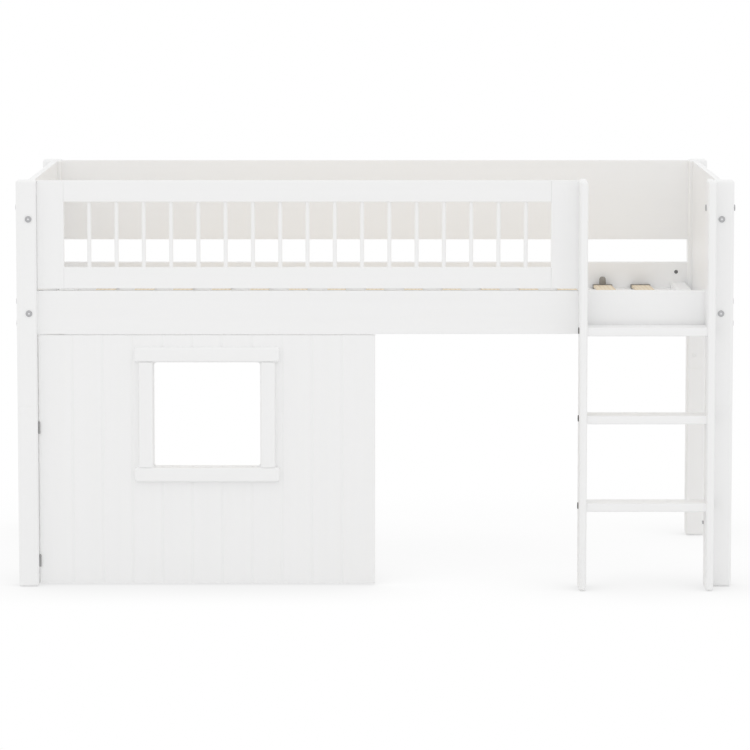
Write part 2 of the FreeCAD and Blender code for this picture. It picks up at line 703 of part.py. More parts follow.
def make_stringer(side):
    """Ladder upright; it is drilled for the treads and for the bolts that hold it to the bed."""
    x = {"left": stringer_left, "right": f"({stringer_right} - stringer_thick)"}[side]
    body = board(f"ladder_stringer_{side}", "stringer_thick", stringer_depth, "ladder_top",
                 (x, f"({front} - ladder_reach)", "0"))
    ease_edges(body, "stringer_corner", lambda edge, box: edge_runs_along(edge, ALONG_X)
               and at_corner(edge, box))
    ease_edges(body, "stringer_round", lambda edge, box: edge.BoundBox.XLength < box.XLength / 2)
    bolt_y = f"(tread_setback + {tread_depth} / 2)"
    heights = [f"({tread_top(index)} - tread_thick / 2)" for index in range(TREADS)]
    drill(body, "tread_bolt_holes", "YZ_Plane", [(bolt_y, height) for height in heights], bolt_hole)
    dowels = [(f"({bolt_y} + tread_dowel_offset)", height) for height in heights]
    inner_face = {"left": "stringer_thick", "right": "0"}[side]
    drill(body, "tread_dowel_holes", "YZ_Plane", dowels, dowel_hole, offset=inner_face,
          depth=dowel_depth, flip=(side == "right"))
    if side == "left":
        centres = [("(stringer_thick / 2)", height) for height in
                   (guard_bolt, f"({rail_top} - ladder_rail_bolt_drop)")]
        drill(body, "bed_insert_holes", "XZ_Plane", centres, insert_hole, offset=f"-{stringer_depth}",
              depth=insert_depth, flip=True)
    else:
        centres = [(f"(ladder_reach + {lap_middle})", height) for height in (guard_bolt, "ladder_foot_bolt")]
        drill(body, "bed_bolt_holes", "YZ_Plane", centres, bolt_hole)


def make_tread(index):
    """Ladder tread with an insert and a dowel hole in each end."""
    body = board(f"tread_{TREAD_NAMES[index]}", "ladder_clear", tread_depth, "tread_thick",
                 (f"({stringer_left} + stringer_thick)", f"({front} - ladder_reach + tread_setback)",
                  f"({tread_top(index)} - tread_thick)"))
    ease_edges(body, "tread_round", along(ALONG_X))
    insert_centre = (f"({tread_depth} / 2)", "(tread_thick / 2)")
    dowel_centre = (f"({tread_depth} / 2 + tread_dowel_offset)", "(tread_thick / 2)")
    for name, offset in (("left", "0"), ("right", "ladder_clear")):
        drill(body, f"{name}_insert_hole", "YZ_Plane", [insert_centre], insert_hole, offset=offset,
              depth=insert_depth, flip=(name == "left"))
        drill(body, f"{name}_dowel_hole", "YZ_Plane", [dowel_centre], dowel_hole, offset=offset,
              depth=dowel_depth, flip=(name == "left"))


def make_door_panel():
    """Door panel: window cut-out with round corners and a row of V grooves down its front face."""
    body = new_body("door_panel")
    outline = new_sketch(body, "outline", "XZ_Plane")
    rectangle(outline, "door_width", door_height)
    pad(body, outline, "door_thick", flip=True)
    ease_edges(body, "door_round", lambda edge, box: not edge_runs_along(edge, ALONG_Y))
    window = new_sketch(body, "window", "XZ_Plane")
    rectangle(window, "window_width", "window_height", window_left, "window_sill")
    pocket(body, window)
    ease_edges(body, "window_round", lambda edge, box: edge_runs_along(edge, ALONG_Y)
               and edge.BoundBox.XMin > box.XMin + box.XLength * WINDOW_SEARCH_SHARE
               and edge.BoundBox.XMax < box.XMax - box.XLength * WINDOW_SEARCH_SHARE)
    groove = new_sketch(body, "groove", "XY_Plane")
    first = polyline(groove, ((1, 0), (3, 0), (2, 1)))
    first_x = f"((door_width - groove_pitch * {GROOVES - 1}) / 2)"
    pin_point(groove, (first, 1), f"({first_x} - groove_width / 2)", "0")
    pin_point(groove, (first + 1, 1), f"({first_x} + groove_width / 2)", "0")
    pin_point(groove, (first + 2, 1), first_x, "groove_depth")
    cut = pocket(body, groove)
    repeat(body, [cut], f"(groove_pitch * {GROOVES - 1})", GROOVES)
    place(body, door_left, door_front, "door_floor_gap")


def make_trim(label, width, height, x, z):
    """One board of the window trim, on the door's front face."""
    body = new_body(label)
    outline = new_sketch(body, "outline", "XZ_Plane")
    rectangle(outline, width, height)
    pad(body, outline, "trim_thick")
    return body, (f"({door_left} + {x})", door_front, f"(door_floor_gap + {z})")


def make_window_trim():
    """Two side boards between a top and a bottom board that run past them."""
    side_height = "(window_height + 2 * trim_reveal)"
    side_x = {"left": f"({window_left} - trim_reveal - trim_width)",
              "right": f"({window_left} + window_width + trim_reveal)"}
    long_width = "(window_width + 2 * trim_reveal + 2 * trim_width + 2 * trim_overhang)"
    long_x = f"({side_x['left']} - trim_overhang)"
    long_z = {"bottom": "(window_sill - trim_reveal - trim_width)",
              "top": "(window_sill + window_height + trim_reveal)"}
    side_z = "(window_sill - trim_reveal)"
    for side, x in side_x.items():
        body, at = make_trim(f"window_trim_{side}", "trim_width", side_height, x, side_z)
        ease_edges(body, "trim_edge_round", lambda edge, box: edge_runs_along(edge, ALONG_Z)
                   and edge.BoundBox.YMax < box.Center.y)
        place(body, *at)
    for level, z in long_z.items():
        body, at = make_trim(f"window_trim_{level}", long_width, "trim_width", long_x, z)
        ease_edges(body, "trim_end_round", along(ALONG_Y))
        ease_edges(body, "trim_edge_round", lambda edge, box: edge.BoundBox.YMax < box.Center.y)
        place(body, *at)


def make_leaf(label, plate_x, knuckles):
    """Hinge leaf about its pin axis: a plate behind the barrel and knuckles joined to it by tabs."""
    body = new_body(label, handed_in=False)
    plate = new_sketch(body, "plate", "XY_Plane")
    plate_front = "(barrel_dia / 2 + barrel_clearance)"
    rectangle(plate, "leaf_thick", "leaf_reach", plate_x, plate_front)
    pad(body, plate, "hinge_height")
    step = f"({knuckle} + knuckle_gap)"
    first = {1: step, 2: "0"}[knuckles]
    tab = new_sketch(body, "tab", "XY_Plane", first)
    rectangle(tab, "leaf_thick", plate_front, plate_x, "0")
    tab_pad = pad(body, tab, knuckle)
    barrel = new_sketch(body, "barrel", "XY_Plane", first)
    circle(barrel, "barrel_dia")
    barrel_pad = pad(body, barrel, knuckle)
    if knuckles == 2:
        repeat(body, [tab_pad, barrel_pad], f"(2 * {step})", knuckles, axis="N_Axis")
    drill(body, "bore", "XY_Plane", [("0", "0")], "(pin_dia + 2 * pin_clearance)")
    return body


def make_hinges():
    """Two butt hinges: leaves on the leg's inner face and on the door's edge, and their pins."""
    leg_leaf = make_leaf("leg_leaf", "-hinge_axis_gap", 2)
    door_leaf = make_leaf("door_leaf", "(door_gap - hinge_axis_gap - leaf_thick)", 1)
    pin = new_body("pin", handed_in=False)
    section = new_sketch(pin, "section", "XY_Plane")
    circle(section, "pin_dia")
    pad(pin, section, "hinge_height")
    heights = [f"({middle} - hinge_height / 2)" for middle in ("hinge_low", "hinge_high")]
    for label, pattern in (("hinge_leg_leaves", leg_leaf), ("hinge_pins", pin),
                           ("hinge_door_leaves", door_leaf)):
        group(label, [(pattern, hinge_axis_x, hinge_axis_y, height, UPRIGHT) for height in heights])


def make_bolt(label, length, head_dia="bolt_head_dia", head_height="bolt_head_height"):
    """Flat-headed bolt with a bevelled rim and a six-sided socket; its head stands on z = 0."""
    body = new_body(label, handed_in=False)
    head = new_sketch(body, "head", "XY_Plane")
    circle(head, head_dia)
    pad(body, head, head_height)
    ease_edges(body, "bolt_head_bevel", at_top, "Chamfer")
    socket = new_sketch(body, "socket", "XY_Plane", head_height)
    rim = socket.addGeometry(Part.Circle(FreeCAD.Vector(), ALONG_Z, 1), True)
    socket.addConstraint(Sketcher.Constraint("Coincident", rim, 3, *ORIGIN_POINT))
    dimension(socket, Sketcher.Constraint("Diameter", rim, 1.0), "socket_dia")
    turns = [FreeCAD.Rotation(ALONG_Z, 360 / SOCKET_SIDES * side) for side in range(SOCKET_SIDES)]
    tips = [turn.multVec(ALONG_X) for turn in turns]
    first = polyline(socket, [(tip.x, tip.y) for tip in tips])
    for line in range(first, first + SOCKET_SIDES):
        socket.addConstraint(Sketcher.Constraint("PointOnObject", line, 1, rim))
    for line in range(first + 1, first + SOCKET_SIDES):
        socket.addConstraint(Sketcher.Constraint("Equal", first, line))
    socket.addConstraint(Sketcher.Constraint("PointOnObject", first, 1, int(SKETCH_AXES[0])))
    pocket(body, socket, depth="socket_depth")
    shank = new_sketch(body, "shank", "XY_Plane")
    circle(shank, "bolt_shank")
    pad(body, shank, length, flip=True)
    return body


def make_rod(label, diameter, length, bore=None):
    """Plain rod or tube from z = 0 downwards."""
    body = new_body(label, handed_in=False)
    section = new_sketch(body, "section", "XY_Plane")
    circle(section, diameter)
    if bore:
        circle(section, bore)
    pad(body, section, length, flip=True)
    return body


def make_barrel_nut():
    """Barrel nut along z, with its thread's hole across the middle."""
    body = new_body("barrel_nut", handed_in=False)
    section = new_sketch(body, "section", "XY_Plane", "(-nut_length / 2)")
    circle(section, "nut_dia")
    pad(body, section, "nut_length")
    drill(body, "thread", "YZ_Plane", [("0", "0")], bolt_hole)
    return body


def make_sleeve_nut():
    """Flat head on a threaded sleeve."""
    body = new_body("sleeve_nut", handed_in=False)
    head = new_sketch(body, "head", "XY_Plane")
    circle(head, "bolt_head_dia")
    pad(body, head, "bolt_head_height")
    ease_edges(body, "bolt_head_bevel", at_top, "Chamfer")
    sleeve = new_sketch(body, "sleeve", "XY_Plane")
    circle(sleeve, "insert_dia")
    pad(body, sleeve, "sleeve_length", flip=True)
    drill(body, "thread", "XY_Plane", [("0", "0")], bolt_hole, offset="-sleeve_length",
          depth="sleeve_length", flip=True)
    return body


def make_fasteners():
    """Bolts, nuts, inserts, studs and dowels that hold the bed together."""
    rail_bolt = make_bolt("rail_bolt", "(post_side + nut_inset + nut_overrun)")
    group("rail_bolts", [(rail_bolt, OUTER_X[side], PLANE_Y[depth], height, HEAD_X[side])
                         for side, depth in CORNERS for height in rail_bolt_heights])
    nut = make_barrel_nut()
    nuts = [(nut, f"({JOINT_X[side]} {INWARD[side]} nut_inset)", PLANE_Y[depth], height, NUT_ACROSS)
            for side, depth in CORNERS for height in rail_bolt_heights]
    nuts += [(nut, PLANE_X[side], PLANE_Y[depth], stud_nut_height, NUT_UPRIGHT) for side, depth in CORNERS]
    group("barrel_nuts", nuts)
    stud = make_rod("stud", "bolt_shank", "(stud_rise + stud_overrun + stud_fall)")
    stud_top = "(leg_length + stud_rise + stud_overrun)"
    group("leg_studs", [(stud, PLANE_X[side], PLANE_Y[depth], stud_top, UPRIGHT)
                        for side, depth in CORNERS])
    panel_bolt = make_bolt("panel_bolt", "(post_side + insert_length)")
    insert = make_rod("insert", "insert_dia", "insert_length", bolt_hole)
    guard_corners = [corner for corner in CORNERS if corner != ("right", "front")]
    bolts = [(panel_bolt, PLANE_X[side], OUTER_Y[depth], height, HEAD_Y[depth])
             for side, depth in CORNERS for height in end_bolt_heights]
    bolts += [(panel_bolt, OUTER_X[side], PLANE_Y[depth], guard_bolt, HEAD_X[side])
              for side, depth in guard_corners]
    group("panel_bolts", bolts)
    inserts = [(insert, PLANE_X[side], JOINT_Y[depth], height, HEAD_Y[depth])
               for side, depth in CORNERS for height in end_bolt_heights]
    inserts += [(insert, JOINT_X[side], PLANE_Y[depth], guard_bolt, HEAD_X[side])
                for side, depth in guard_corners]
    ladder_bolt = make_bolt("ladder_bolt", "(stringer_thick + insert_length)")
    ladder_bolts = []
    stringer_outer = {"left": stringer_left, "right": stringer_right}
    stringer_inner = {"left": f"({stringer_left} + stringer_thick)",
                      "right": f"({stringer_right} - stringer_thick)"}
    tread_heights = [f"({tread_top(index)} - tread_thick / 2)" for index in range(TREADS)]
    for side in ("left", "right"):
        for height in tread_heights:
            ladder_bolts.append((ladder_bolt, stringer_outer[side], tread_middle, height, HEAD_X[side]))
            inserts.append((insert, stringer_inner[side], tread_middle, height, HEAD_X[side]))
    stringer_centre = f"({stringer_left} + stringer_thick / 2)"
    for height in (guard_bolt, f"({rail_top} - ladder_rail_bolt_drop)"):
        ladder_bolts.append((ladder_bolt, stringer_centre, f"({door_front} + rail_thick)", height, TO_BACK))
        inserts.append((insert, stringer_centre, door_front, height, TO_BACK))
    lap_y = f"({front} + {lap_middle})"
    foot_bolt = make_bolt("foot_bolt", "(stringer_thick + insert_length)",
                          "foot_bolt_dia", "foot_bolt_height")
    inserts.append((insert, stringer_right, lap_y, "ladder_foot_bolt", TO_LEFT))
    group("ladder_bolts", ladder_bolts)
    group("threaded_inserts", inserts)
    through_bolt = make_bolt("through_bolt", "(stringer_thick + post_side - sleeve_length + sleeve_lap)")
    sleeve_nut = make_sleeve_nut()
    group("ladder_through_bolt", [(through_bolt, stringer_inner["right"], lap_y, guard_bolt, TO_LEFT),
                                  (sleeve_nut, end, lap_y, guard_bolt, TO_RIGHT),
                                  (foot_bolt, stringer_inner["right"], lap_y, "ladder_foot_bolt", TO_LEFT)])
    dowel = make_rod("dowel", "dowel_dia", "dowel_length")
    half = "dowel_length / 2"
    dowels = [(dowel, f"({JOINT_X[side]} - {half})", PLANE_Y[depth], guard_dowel_heights[depth], TO_LEFT)
              for side, depth in guard_corners]
    dowel_y = f"({tread_middle} + tread_dowel_offset)"
    dowels += [(dowel, f"({stringer_inner[side]} - {half})", dowel_y, height, TO_LEFT)
               for side in ("left", "right") for height in tread_heights]
    group("wood_dowels", dowels)


for corner_side, corner_depth in CORNERS:
    make_post(corner_side, corner_depth)
    make_leg(corner_side, corner_depth)
for bed_depth in ("front", "back"):
    make_rail(bed_depth)
    make_ledger(bed_depth)
for bed_side in ("left", "right"):
    make_end_panel(bed_side)
    make_crossbar(bed_side)
    make_stringer(bed_side)
make_front_guard()
make_back_guard()
for slat_number in range(1, SLATS + 1):
    make_slat(slat_number)
make_slat_fittings()
for tread_index in range(TREADS):
    make_tread(tread_index)
make_door_panel()
make_window_trim()
make_hinges()
make_fasteners()
doc.recompute()

# Every feature has to be sound before anything is written
for item in doc.Objects:
    if {"Invalid", "Error"} & set(item.State):
        raise RuntimeError(f"{item.Name} failed: {item.State}")
for node in nodes:
    if node.Shape.isNull() or not node.Shape.isValid() or not node.Shape.Solids:
        raise RuntimeError(f"{node.Label} has no valid solid")
os.makedirs("parts", exist_ok=True)
for node in nodes:
    node.Shape.exportStep(f"parts/{node.Label}.step")
print(f"{len(nodes)} pieces written")
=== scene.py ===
import math

import bmesh
import bpy
from bpy.props import FloatProperty, FloatVectorProperty, IntProperty, PointerProperty
from mathutils import Matrix, Vector


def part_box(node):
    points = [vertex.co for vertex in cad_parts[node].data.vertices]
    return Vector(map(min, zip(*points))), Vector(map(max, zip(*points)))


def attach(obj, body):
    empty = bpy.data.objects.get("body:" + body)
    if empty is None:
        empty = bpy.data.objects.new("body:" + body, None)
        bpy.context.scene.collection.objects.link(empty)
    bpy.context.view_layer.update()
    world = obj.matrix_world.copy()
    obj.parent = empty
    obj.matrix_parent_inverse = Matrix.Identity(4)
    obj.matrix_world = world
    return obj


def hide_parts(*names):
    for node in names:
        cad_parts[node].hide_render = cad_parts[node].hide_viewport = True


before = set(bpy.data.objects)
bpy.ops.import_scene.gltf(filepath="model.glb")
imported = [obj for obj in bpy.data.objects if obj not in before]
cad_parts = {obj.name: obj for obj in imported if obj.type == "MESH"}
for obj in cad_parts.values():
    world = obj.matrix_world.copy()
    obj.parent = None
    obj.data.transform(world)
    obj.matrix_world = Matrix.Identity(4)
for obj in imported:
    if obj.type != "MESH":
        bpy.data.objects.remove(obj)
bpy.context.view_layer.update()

bl_info = {
    "name": "Mid Sleeper Bed Dressing",
    "version": (1, 0, 0),
    "blender": (4, 5, 0),
    "location": "3D View > Sidebar > Bed",
    "description": "Gives a mid sleeper bed its finishes, small fittings and studio stage",
    "category": "Object",
}

RING_STEPS = 48
RIM_STEPS = 4
DOME_STEPS = 8
SMOOTH_ANGLE = math.radians(32)

# Points nearer than these are welded, belong to one solid, or lie at one level
WELD_GAP = 1e-7
CORNER_GAP = 1e-6
LEVEL_GAP = 1e-5

# Share of a head's radius beyond which a point lies on its rim
RIM_SHARE = 0.97

# Outline of a slat peg's knob, as shares of its height and of its radius
PEG_SKIRT_SHARES = ((0, 0.93), (0.05, 1), (0.12, 1))
PEG_GRIP_SHARES = (0.15, 0.52)
PEG_DOME_SHARES = (0.55, 0.985)
PEG_CROWN_SHARE = 0.3
PEG_TIP_SHARE = 0.22

# Outline of a bolt: the tip as shares of the shank's radius, the head as shares of its height and
# radius, the crown as a share of the rim's rounding, and the socket's mouth as a share of its width
BOLT_TIP_SHARE = 0.8
BOLT_TAPER_SHARE = 0.3
BOLT_SKIRT_SHARES = ((0, 0.985), (0.12, 1))
BOLT_FACE_SHARES = ((0.99, 0.62), (1, 0.56))
BOLT_CROWN_SHARE = 0.92
BOLT_RIM_LIMIT_SHARE = 0.45
SOCKET_LIMIT_SHARE = 0.6
SOCKET_MOUTH_SHARE = 1.12

# Outline of a cover plug, as shares of its radius
PLUG_TIP_SHARE = 0.9
PLUG_DIMPLE_SHARES = (0.45, 0.38)

# Outline of a hinge screw's head, as shares of its rise and of its radius, and its places on a leaf
SCREW_DOME_SHARES = ((0.25, 1), (0.62, 0.86), (0.9, 0.7))
SCREW_SLOT_SHARES = (0.62, 0.2)
SCREW_SLOT_FLOOR_SHARE = 0.2
SCREW_INSET_SHARE = 0.33
SCREW_HEIGHT_SHARES = (0.22, 0.5, 0.78)

# Scale of the grain along x, y and z, lowest along the board
UPRIGHT_GRAIN = (38, 38, 1.3)
LENGTHWISE_GRAIN = (1.3, 38, 38)
CROSSWISE_GRAIN = (38, 1.3, 38)
PLUG_GRAIN = (60, 60, 60)
SLAT_GRAIN = (1, 0.05, 1)
DOWEL_GRAIN = (0.2, 1, 1)

# Numbers of a colour Mix node's sockets, which share their names with others
MIX_FACTOR = 0
MIX_FIRST = 6
MIX_SECOND = 7
MIX_RESULT = 2

SENSOR_WIDTH = 36
CLIP_END = 500
SHADE_SAMPLES = 16

# Lacquered boards, by the way their grain runs; the door's panel has a lacquer of its own, with painted
# shade in its grooves
UPRIGHT_BOARDS = [
    "post_front_left", "post_front_right", "post_back_left", "post_back_right",
    "leg_front_left", "leg_front_right", "leg_back_left", "leg_back_right",
    "guard_stile_left", "guard_stile_right", "guard_spindles",
    "ladder_stringer_left", "ladder_stringer_right",
    "window_trim_left", "window_trim_right",
]
LENGTHWISE_BOARDS = [
    "front_side_rail", "back_side_rail", "guard_rail_top", "guard_rail_bottom", "back_guard_panel",
    "slat_ledger_front", "slat_ledger_back", "tread_bottom", "tread_middle", "tread_top",
    "window_trim_top", "window_trim_bottom",
]
CROSSWISE_BOARDS = ["end_panel_left", "end_panel_right", "crossbar_left", "crossbar_right"]
SLAT_NODES = sorted(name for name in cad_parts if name.startswith("slat_") and name[-2:].isdigit())
POSTS = ["post_front_left", "post_front_right", "post_back_left", "post_back_right"]
HIDDEN_STEEL = ["threaded_inserts", "leg_studs"]
HINGE_NODES = ["hinge_leg_leaves", "hinge_door_leaves", "hinge_pins"]


class BedFinishes(bpy.types.PropertyGroup):
    """Colours of the bed's finishes"""

    lacquer: FloatVectorProperty(name="Lacquer", description="White lacquer on the boards",
                                 subtype="COLOR", min=0, max=1, default=(0.946, 0.946, 0.945))
    lacquer_shade: FloatVectorProperty(name="Lacquer shade", description="Lacquer over the grain",
                                       subtype="COLOR", min=0, max=1, default=(0.938, 0.938, 0.936))
    # Painted shade: a darker lacquer laid along the door's grooves, where shade falls
    groove_painted_shade: FloatVectorProperty(name="Painted groove shade", description="Lacquer in the grooves",
                                        subtype="COLOR", min=0, max=1, default=(0.929, 0.929, 0.927))
    pine: FloatVectorProperty(name="Pine", description="Early wood of the bare slats",
                              subtype="COLOR", min=0, max=1, default=(0.85, 0.737, 0.567))
    pine_ring: FloatVectorProperty(name="Pine ring", description="Late wood lines of the bare slats",
                                   subtype="COLOR", min=0, max=1, default=(0.8, 0.66, 0.47))
    beech: FloatVectorProperty(name="Beech", description="Bare dowels",
                               subtype="COLOR", min=0, max=1, default=(0.62, 0.45, 0.29))
    beech_ring: FloatVectorProperty(name="Beech ring", description="Late wood lines of the dowels",
                                    subtype="COLOR", min=0, max=1, default=(0.496, 0.36, 0.232))
    zinc: FloatVectorProperty(name="Zinc", description="Plated bolts",
                              subtype="COLOR", min=0, max=1, default=(0.42, 0.42, 0.43))
    # Painted highlight: a paler copy of the zinc, laid in the bolts' sockets
    bright_zinc: FloatVectorProperty(name="Zinc painted highlight", description="Sockets of the plated bolts",
                                     subtype="COLOR", min=0, max=1, default=(0.72, 0.72, 0.73))
    steel: FloatVectorProperty(name="Steel", description="Hinge leaves and knuckles",
                               subtype="COLOR", min=0, max=1, default=(0.36, 0.36, 0.36))
    oiled_steel: FloatVectorProperty(name="Oiled steel", description="Barrel nuts, studs and inserts",
                                     subtype="COLOR", min=0, max=1, default=(0.16, 0.16, 0.16))
    bronze: FloatVectorProperty(name="Bronzed steel", description="Dark ladder bolts",
                                subtype="COLOR", min=0, max=1, default=(0.085, 0.08, 0.075))
    plastic: FloatVectorProperty(name="Grey plastic", description="Slat caps and pegs",
                                 subtype="COLOR", min=0, max=1, default=(0.23, 0.217, 0.198))
    plastic_pale: FloatVectorProperty(name="Pale plastic", description="Paler clouds in the plastic",
                                      subtype="COLOR", min=0, max=1, default=(0.376, 0.3552, 0.3248))


class BedFittings(bpy.types.PropertyGroup):
    """Sizes of the small fittings"""

    bolt_socket: FloatProperty(name="Bolt socket", description="Width across the flats of a socket",
                               unit="LENGTH", default=0.0055)
    bolt_socket_depth: FloatProperty(name="Bolt socket depth", description="Depth of a bolt's socket",
                                     unit="LENGTH", default=0.0021)
    bolt_bevel: FloatProperty(name="Bolt bevel", description="Depth of the bevel at a socket's mouth",
                              unit="LENGTH", default=0.0002)
    bolt_rim: FloatProperty(name="Bolt rim", description="Rounding of a bolt head's rim",
                            unit="LENGTH", default=0.0011)
    groove_pitch: FloatProperty(name="Groove pitch", description="From one door groove to the next",
                                unit="LENGTH", default=0.088)
    groove_width: FloatProperty(name="Groove width", description="Width of a door groove", unit="LENGTH",
                                default=0.012)
    groove_reach: FloatProperty(name="Groove reach", description="How deep the grooves' shade goes",
                                unit="LENGTH", default=0.0015)
    screw_head: FloatProperty(name="Screw head", description="Diameter of a hinge screw's raised head",
                              unit="LENGTH", default=0.0056)
    screw_rise: FloatProperty(name="Screw rise", description="Height of a hinge screw's raised head",
                              unit="LENGTH", default=0.00015)
    screw_sink: FloatProperty(name="Screw sink", description="How far a screw's head goes into its leaf",
                              unit="LENGTH", default=0.001)
    plug: FloatProperty(name="Plug", description="Diameter of the white plugs over the leg nuts",
                        unit="LENGTH", default=0.0122)
    plug_length: FloatProperty(name="Plug length", description="How deep a plug goes into the wood",
                               unit="LENGTH", default=0.008)
    plug_taper: FloatProperty(name="Plug taper", description="Length of the taper at a plug's inner end",
                              unit="LENGTH", default=0.0015)
    plug_round: FloatProperty(name="Plug rounding", description="Rounding of a plug's outer edge",
                              unit="LENGTH", default=0.0007)
    plug_dimple: FloatProperty(name="Plug dimple", description="Depth of the dimple in a plug's face",
                               unit="LENGTH", default=0.0004)
    plug_sink: FloatProperty(name="Plug sink", description="How far a plug sits below the wood's face",
                             unit="LENGTH", default=0.0004)
    peg_ribs: IntProperty(name="Peg ribs", description="Grip ribs round a slat peg", default=16)
    peg_rib_depth: FloatProperty(name="Peg rib depth", description="How deep the grip ribs are cut",
                                 unit="LENGTH", default=0.0007)


class BedStage(bpy.types.PropertyGroup):
    """Camera, floor and light"""

    lens: FloatProperty(name="Lens", description="Focal length on a 36 mm sensor", default=186.68)
    pitch: FloatProperty(name="Pitch", description="How far the camera looks down", subtype="ANGLE",
                         default=math.radians(5.89))
    place: FloatVectorProperty(name="Camera place", description="Where the camera stands",
                               subtype="TRANSLATION", unit="LENGTH", default=(0, -11.7909, 1.9943))
    rise: FloatProperty(name="Lens rise", description="Vertical shift of the lens, as a share of the width",
                        default=-0.0889)
    floor: FloatVectorProperty(name="Floor", description="Pale studio floor", subtype="COLOR",
                               min=0, max=1, default=(0.88, 0.88, 0.88))
    floor_shade: FloatProperty(name="Floor shade", description="How far the floor darkens behind the bed",
                               subtype="FACTOR", min=0, max=1, default=0.13)
    floor_reach: FloatProperty(name="Shade reach", description="How far the soft shade reaches",
                               unit="LENGTH", default=1.2)
    shade_side: FloatVectorProperty(name="Shade side", description="Side that the shade lacks light from",
                                    subtype="XYZ", default=(0, -0.86, 0.5))
    contact_shade: FloatProperty(name="Contact shade", description="How far the floor darkens at the feet",
                                 subtype="FACTOR", min=0, max=1, default=0.2)
    contact_reach: FloatProperty(name="Contact reach", description="How far the shade at the feet reaches",
                                 unit="LENGTH", default=0.36)
    floor_drop: FloatProperty(name="Floor drop", description="How far the floor lies below the feet",
                              unit="LENGTH", default=0.0005)
    floor_side: FloatProperty(name="Floor side", description="Length of the floor's side", unit="LENGTH",
                              default=240)
    sky: FloatProperty(name="Sky", description="Strength of the even studio light", default=0.95)
    key: FloatProperty(name="Key", description="Power of the large soft lamp in front", unit="POWER",
                       default=14)
    key_size: FloatVectorProperty(name="Key size", description="Width and height of the lamp", size=2,
                                  unit="LENGTH", default=(6, 4))
    key_place: FloatVectorProperty(name="Key place", description="Where the lamp stands",
                                   subtype="TRANSLATION", unit="LENGTH", default=(-1, -7, 3.5))
    key_aim: FloatVectorProperty(name="Key aim", description="Where the lamp points",
                                 subtype="TRANSLATION", unit="LENGTH", default=(0, 0, 0.6))


def settings():
    """The scene's three groups of settings."""
    scene = bpy.context.scene
    return scene.bed_finishes, scene.bed_fittings, scene.bed_stage


def add_node(tree, kind, place=(0, 0), **values):
    """Add a shader node and set its properties and its unlinked sockets."""
    node = tree.nodes.new(kind)
    node.location = place
    for name, value in values.items():
        if hasattr(node, name):
            setattr(node, name, value)
        else:
            node.inputs[name.replace("_", " ").title()].default_value = value
    return node


def effect_group(name, inputs, outputs):
    """Start a shader node group with named sockets and return it with its two end nodes."""
    group = bpy.data.node_groups.new(name, "ShaderNodeTree")
    for direction, sockets in (("INPUT", inputs), ("OUTPUT", outputs)):
        for socket, kind in sockets:
            group.interface.new_socket(socket, in_out=direction, socket_type=kind)
    start = add_node(group, "NodeGroupInput", (-900, 0))
    finish = add_node(group, "NodeGroupOutput", (600, 0))
    return group, start, finish


def grain_under_lacquer():
    """Streaks of closed grain that telegraph through lacquer, and the lacquer's faint orange peel."""
    name = "Grain under lacquer"
    if name in bpy.data.node_groups:
        return bpy.data.node_groups[name]
    group, start, finish = effect_group(
        name, [("Along", "NodeSocketVector"), ("Place", "NodeSocketVector")],
        [("Streak", "NodeSocketFloat"), ("Height", "NodeSocketFloat"), ("Roughness", "NodeSocketFloat")])
    link = group.links.new
    streak = add_node(group, "ShaderNodeTexNoise", (-600, 200), scale=1.0, detail=6.0, roughness=0.62)
    link(start.outputs["Along"], streak.inputs["Vector"])
    contrast = add_node(group, "ShaderNodeMapRange", (-350, 200))
    contrast.inputs["From Min"].default_value = 0.42
    contrast.inputs["From Max"].default_value = 0.66
    link(streak.outputs["Fac"], contrast.inputs["Value"])
    peel = add_node(group, "ShaderNodeTexNoise", (-600, -100), scale=420.0, detail=2.0)
    link(start.outputs["Place"], peel.inputs["Vector"])
    cloud = add_node(group, "ShaderNodeTexNoise", (-600, -350), scale=6.0, detail=3.0)
    link(start.outputs["Place"], cloud.inputs["Vector"])
    height = add_node(group, "ShaderNodeMath", (-100, -50), operation="MULTIPLY_ADD")
    height.inputs[1].default_value = 0.45
    link(peel.outputs["Fac"], height.inputs[0])
    link(contrast.outputs["Result"], height.inputs[2])
    gloss = add_node(group, "ShaderNodeMapRange", (-350, -350))
    gloss.inputs["To Min"].default_value = 0.36
    gloss.inputs["To Max"].default_value = 0.5
    link(cloud.outputs["Fac"], gloss.inputs["Value"])
    link(contrast.outputs["Result"], finish.inputs["Streak"])
    link(height.outputs["Value"], finish.inputs["Height"])
    link(gloss.outputs["Result"], finish.inputs["Roughness"])
    return group


def growth_rings():
    """Growth rings drawn out along a board, and the fine fibres between them."""
    name = "Growth rings"
    if name in bpy.data.node_groups:
        return bpy.data.node_groups[name]
    group, start, finish = effect_group(
        name, [("Along", "NodeSocketVector")],
        [("Ring", "NodeSocketFloat"), ("Fibre", "NodeSocketFloat"), ("Height", "NodeSocketFloat")])
    link = group.links.new
    rings = add_node(group, "ShaderNodeTexWave", (-600, 200), wave_type="BANDS", bands_direction="X",
                     wave_profile="SIN", scale=26.0, distortion=5.5, detail=2.5)
    rings.inputs["Detail Scale"].default_value = 1.2
    link(start.outputs["Along"], rings.inputs["Vector"])
    sharpen = add_node(group, "ShaderNodeMapRange", (-350, 200))
    sharpen.inputs["From Min"].default_value = 0.35
    sharpen.inputs["From Max"].default_value = 1.0
    link(rings.outputs["Fac"], sharpen.inputs["Value"])
    fibre = add_node(group, "ShaderNodeTexNoise", (-600, -100), scale=240.0, detail=3.0)
    link(start.outputs["Along"], fibre.inputs["Vector"])
    height = add_node(group, "ShaderNodeMath", (-100, 0), operation="MULTIPLY_ADD")
    height.inputs[1].default_value = 0.6
    link(fibre.outputs["Fac"], height.inputs[0])
    link(sharpen.outputs["Result"], height.inputs[2])
    link(sharpen.outputs["Result"], finish.inputs["Ring"])
    link(fibre.outputs["Fac"], finish.inputs["Fibre"])
    link(height.outputs["Value"], finish.inputs["Height"])
    return group


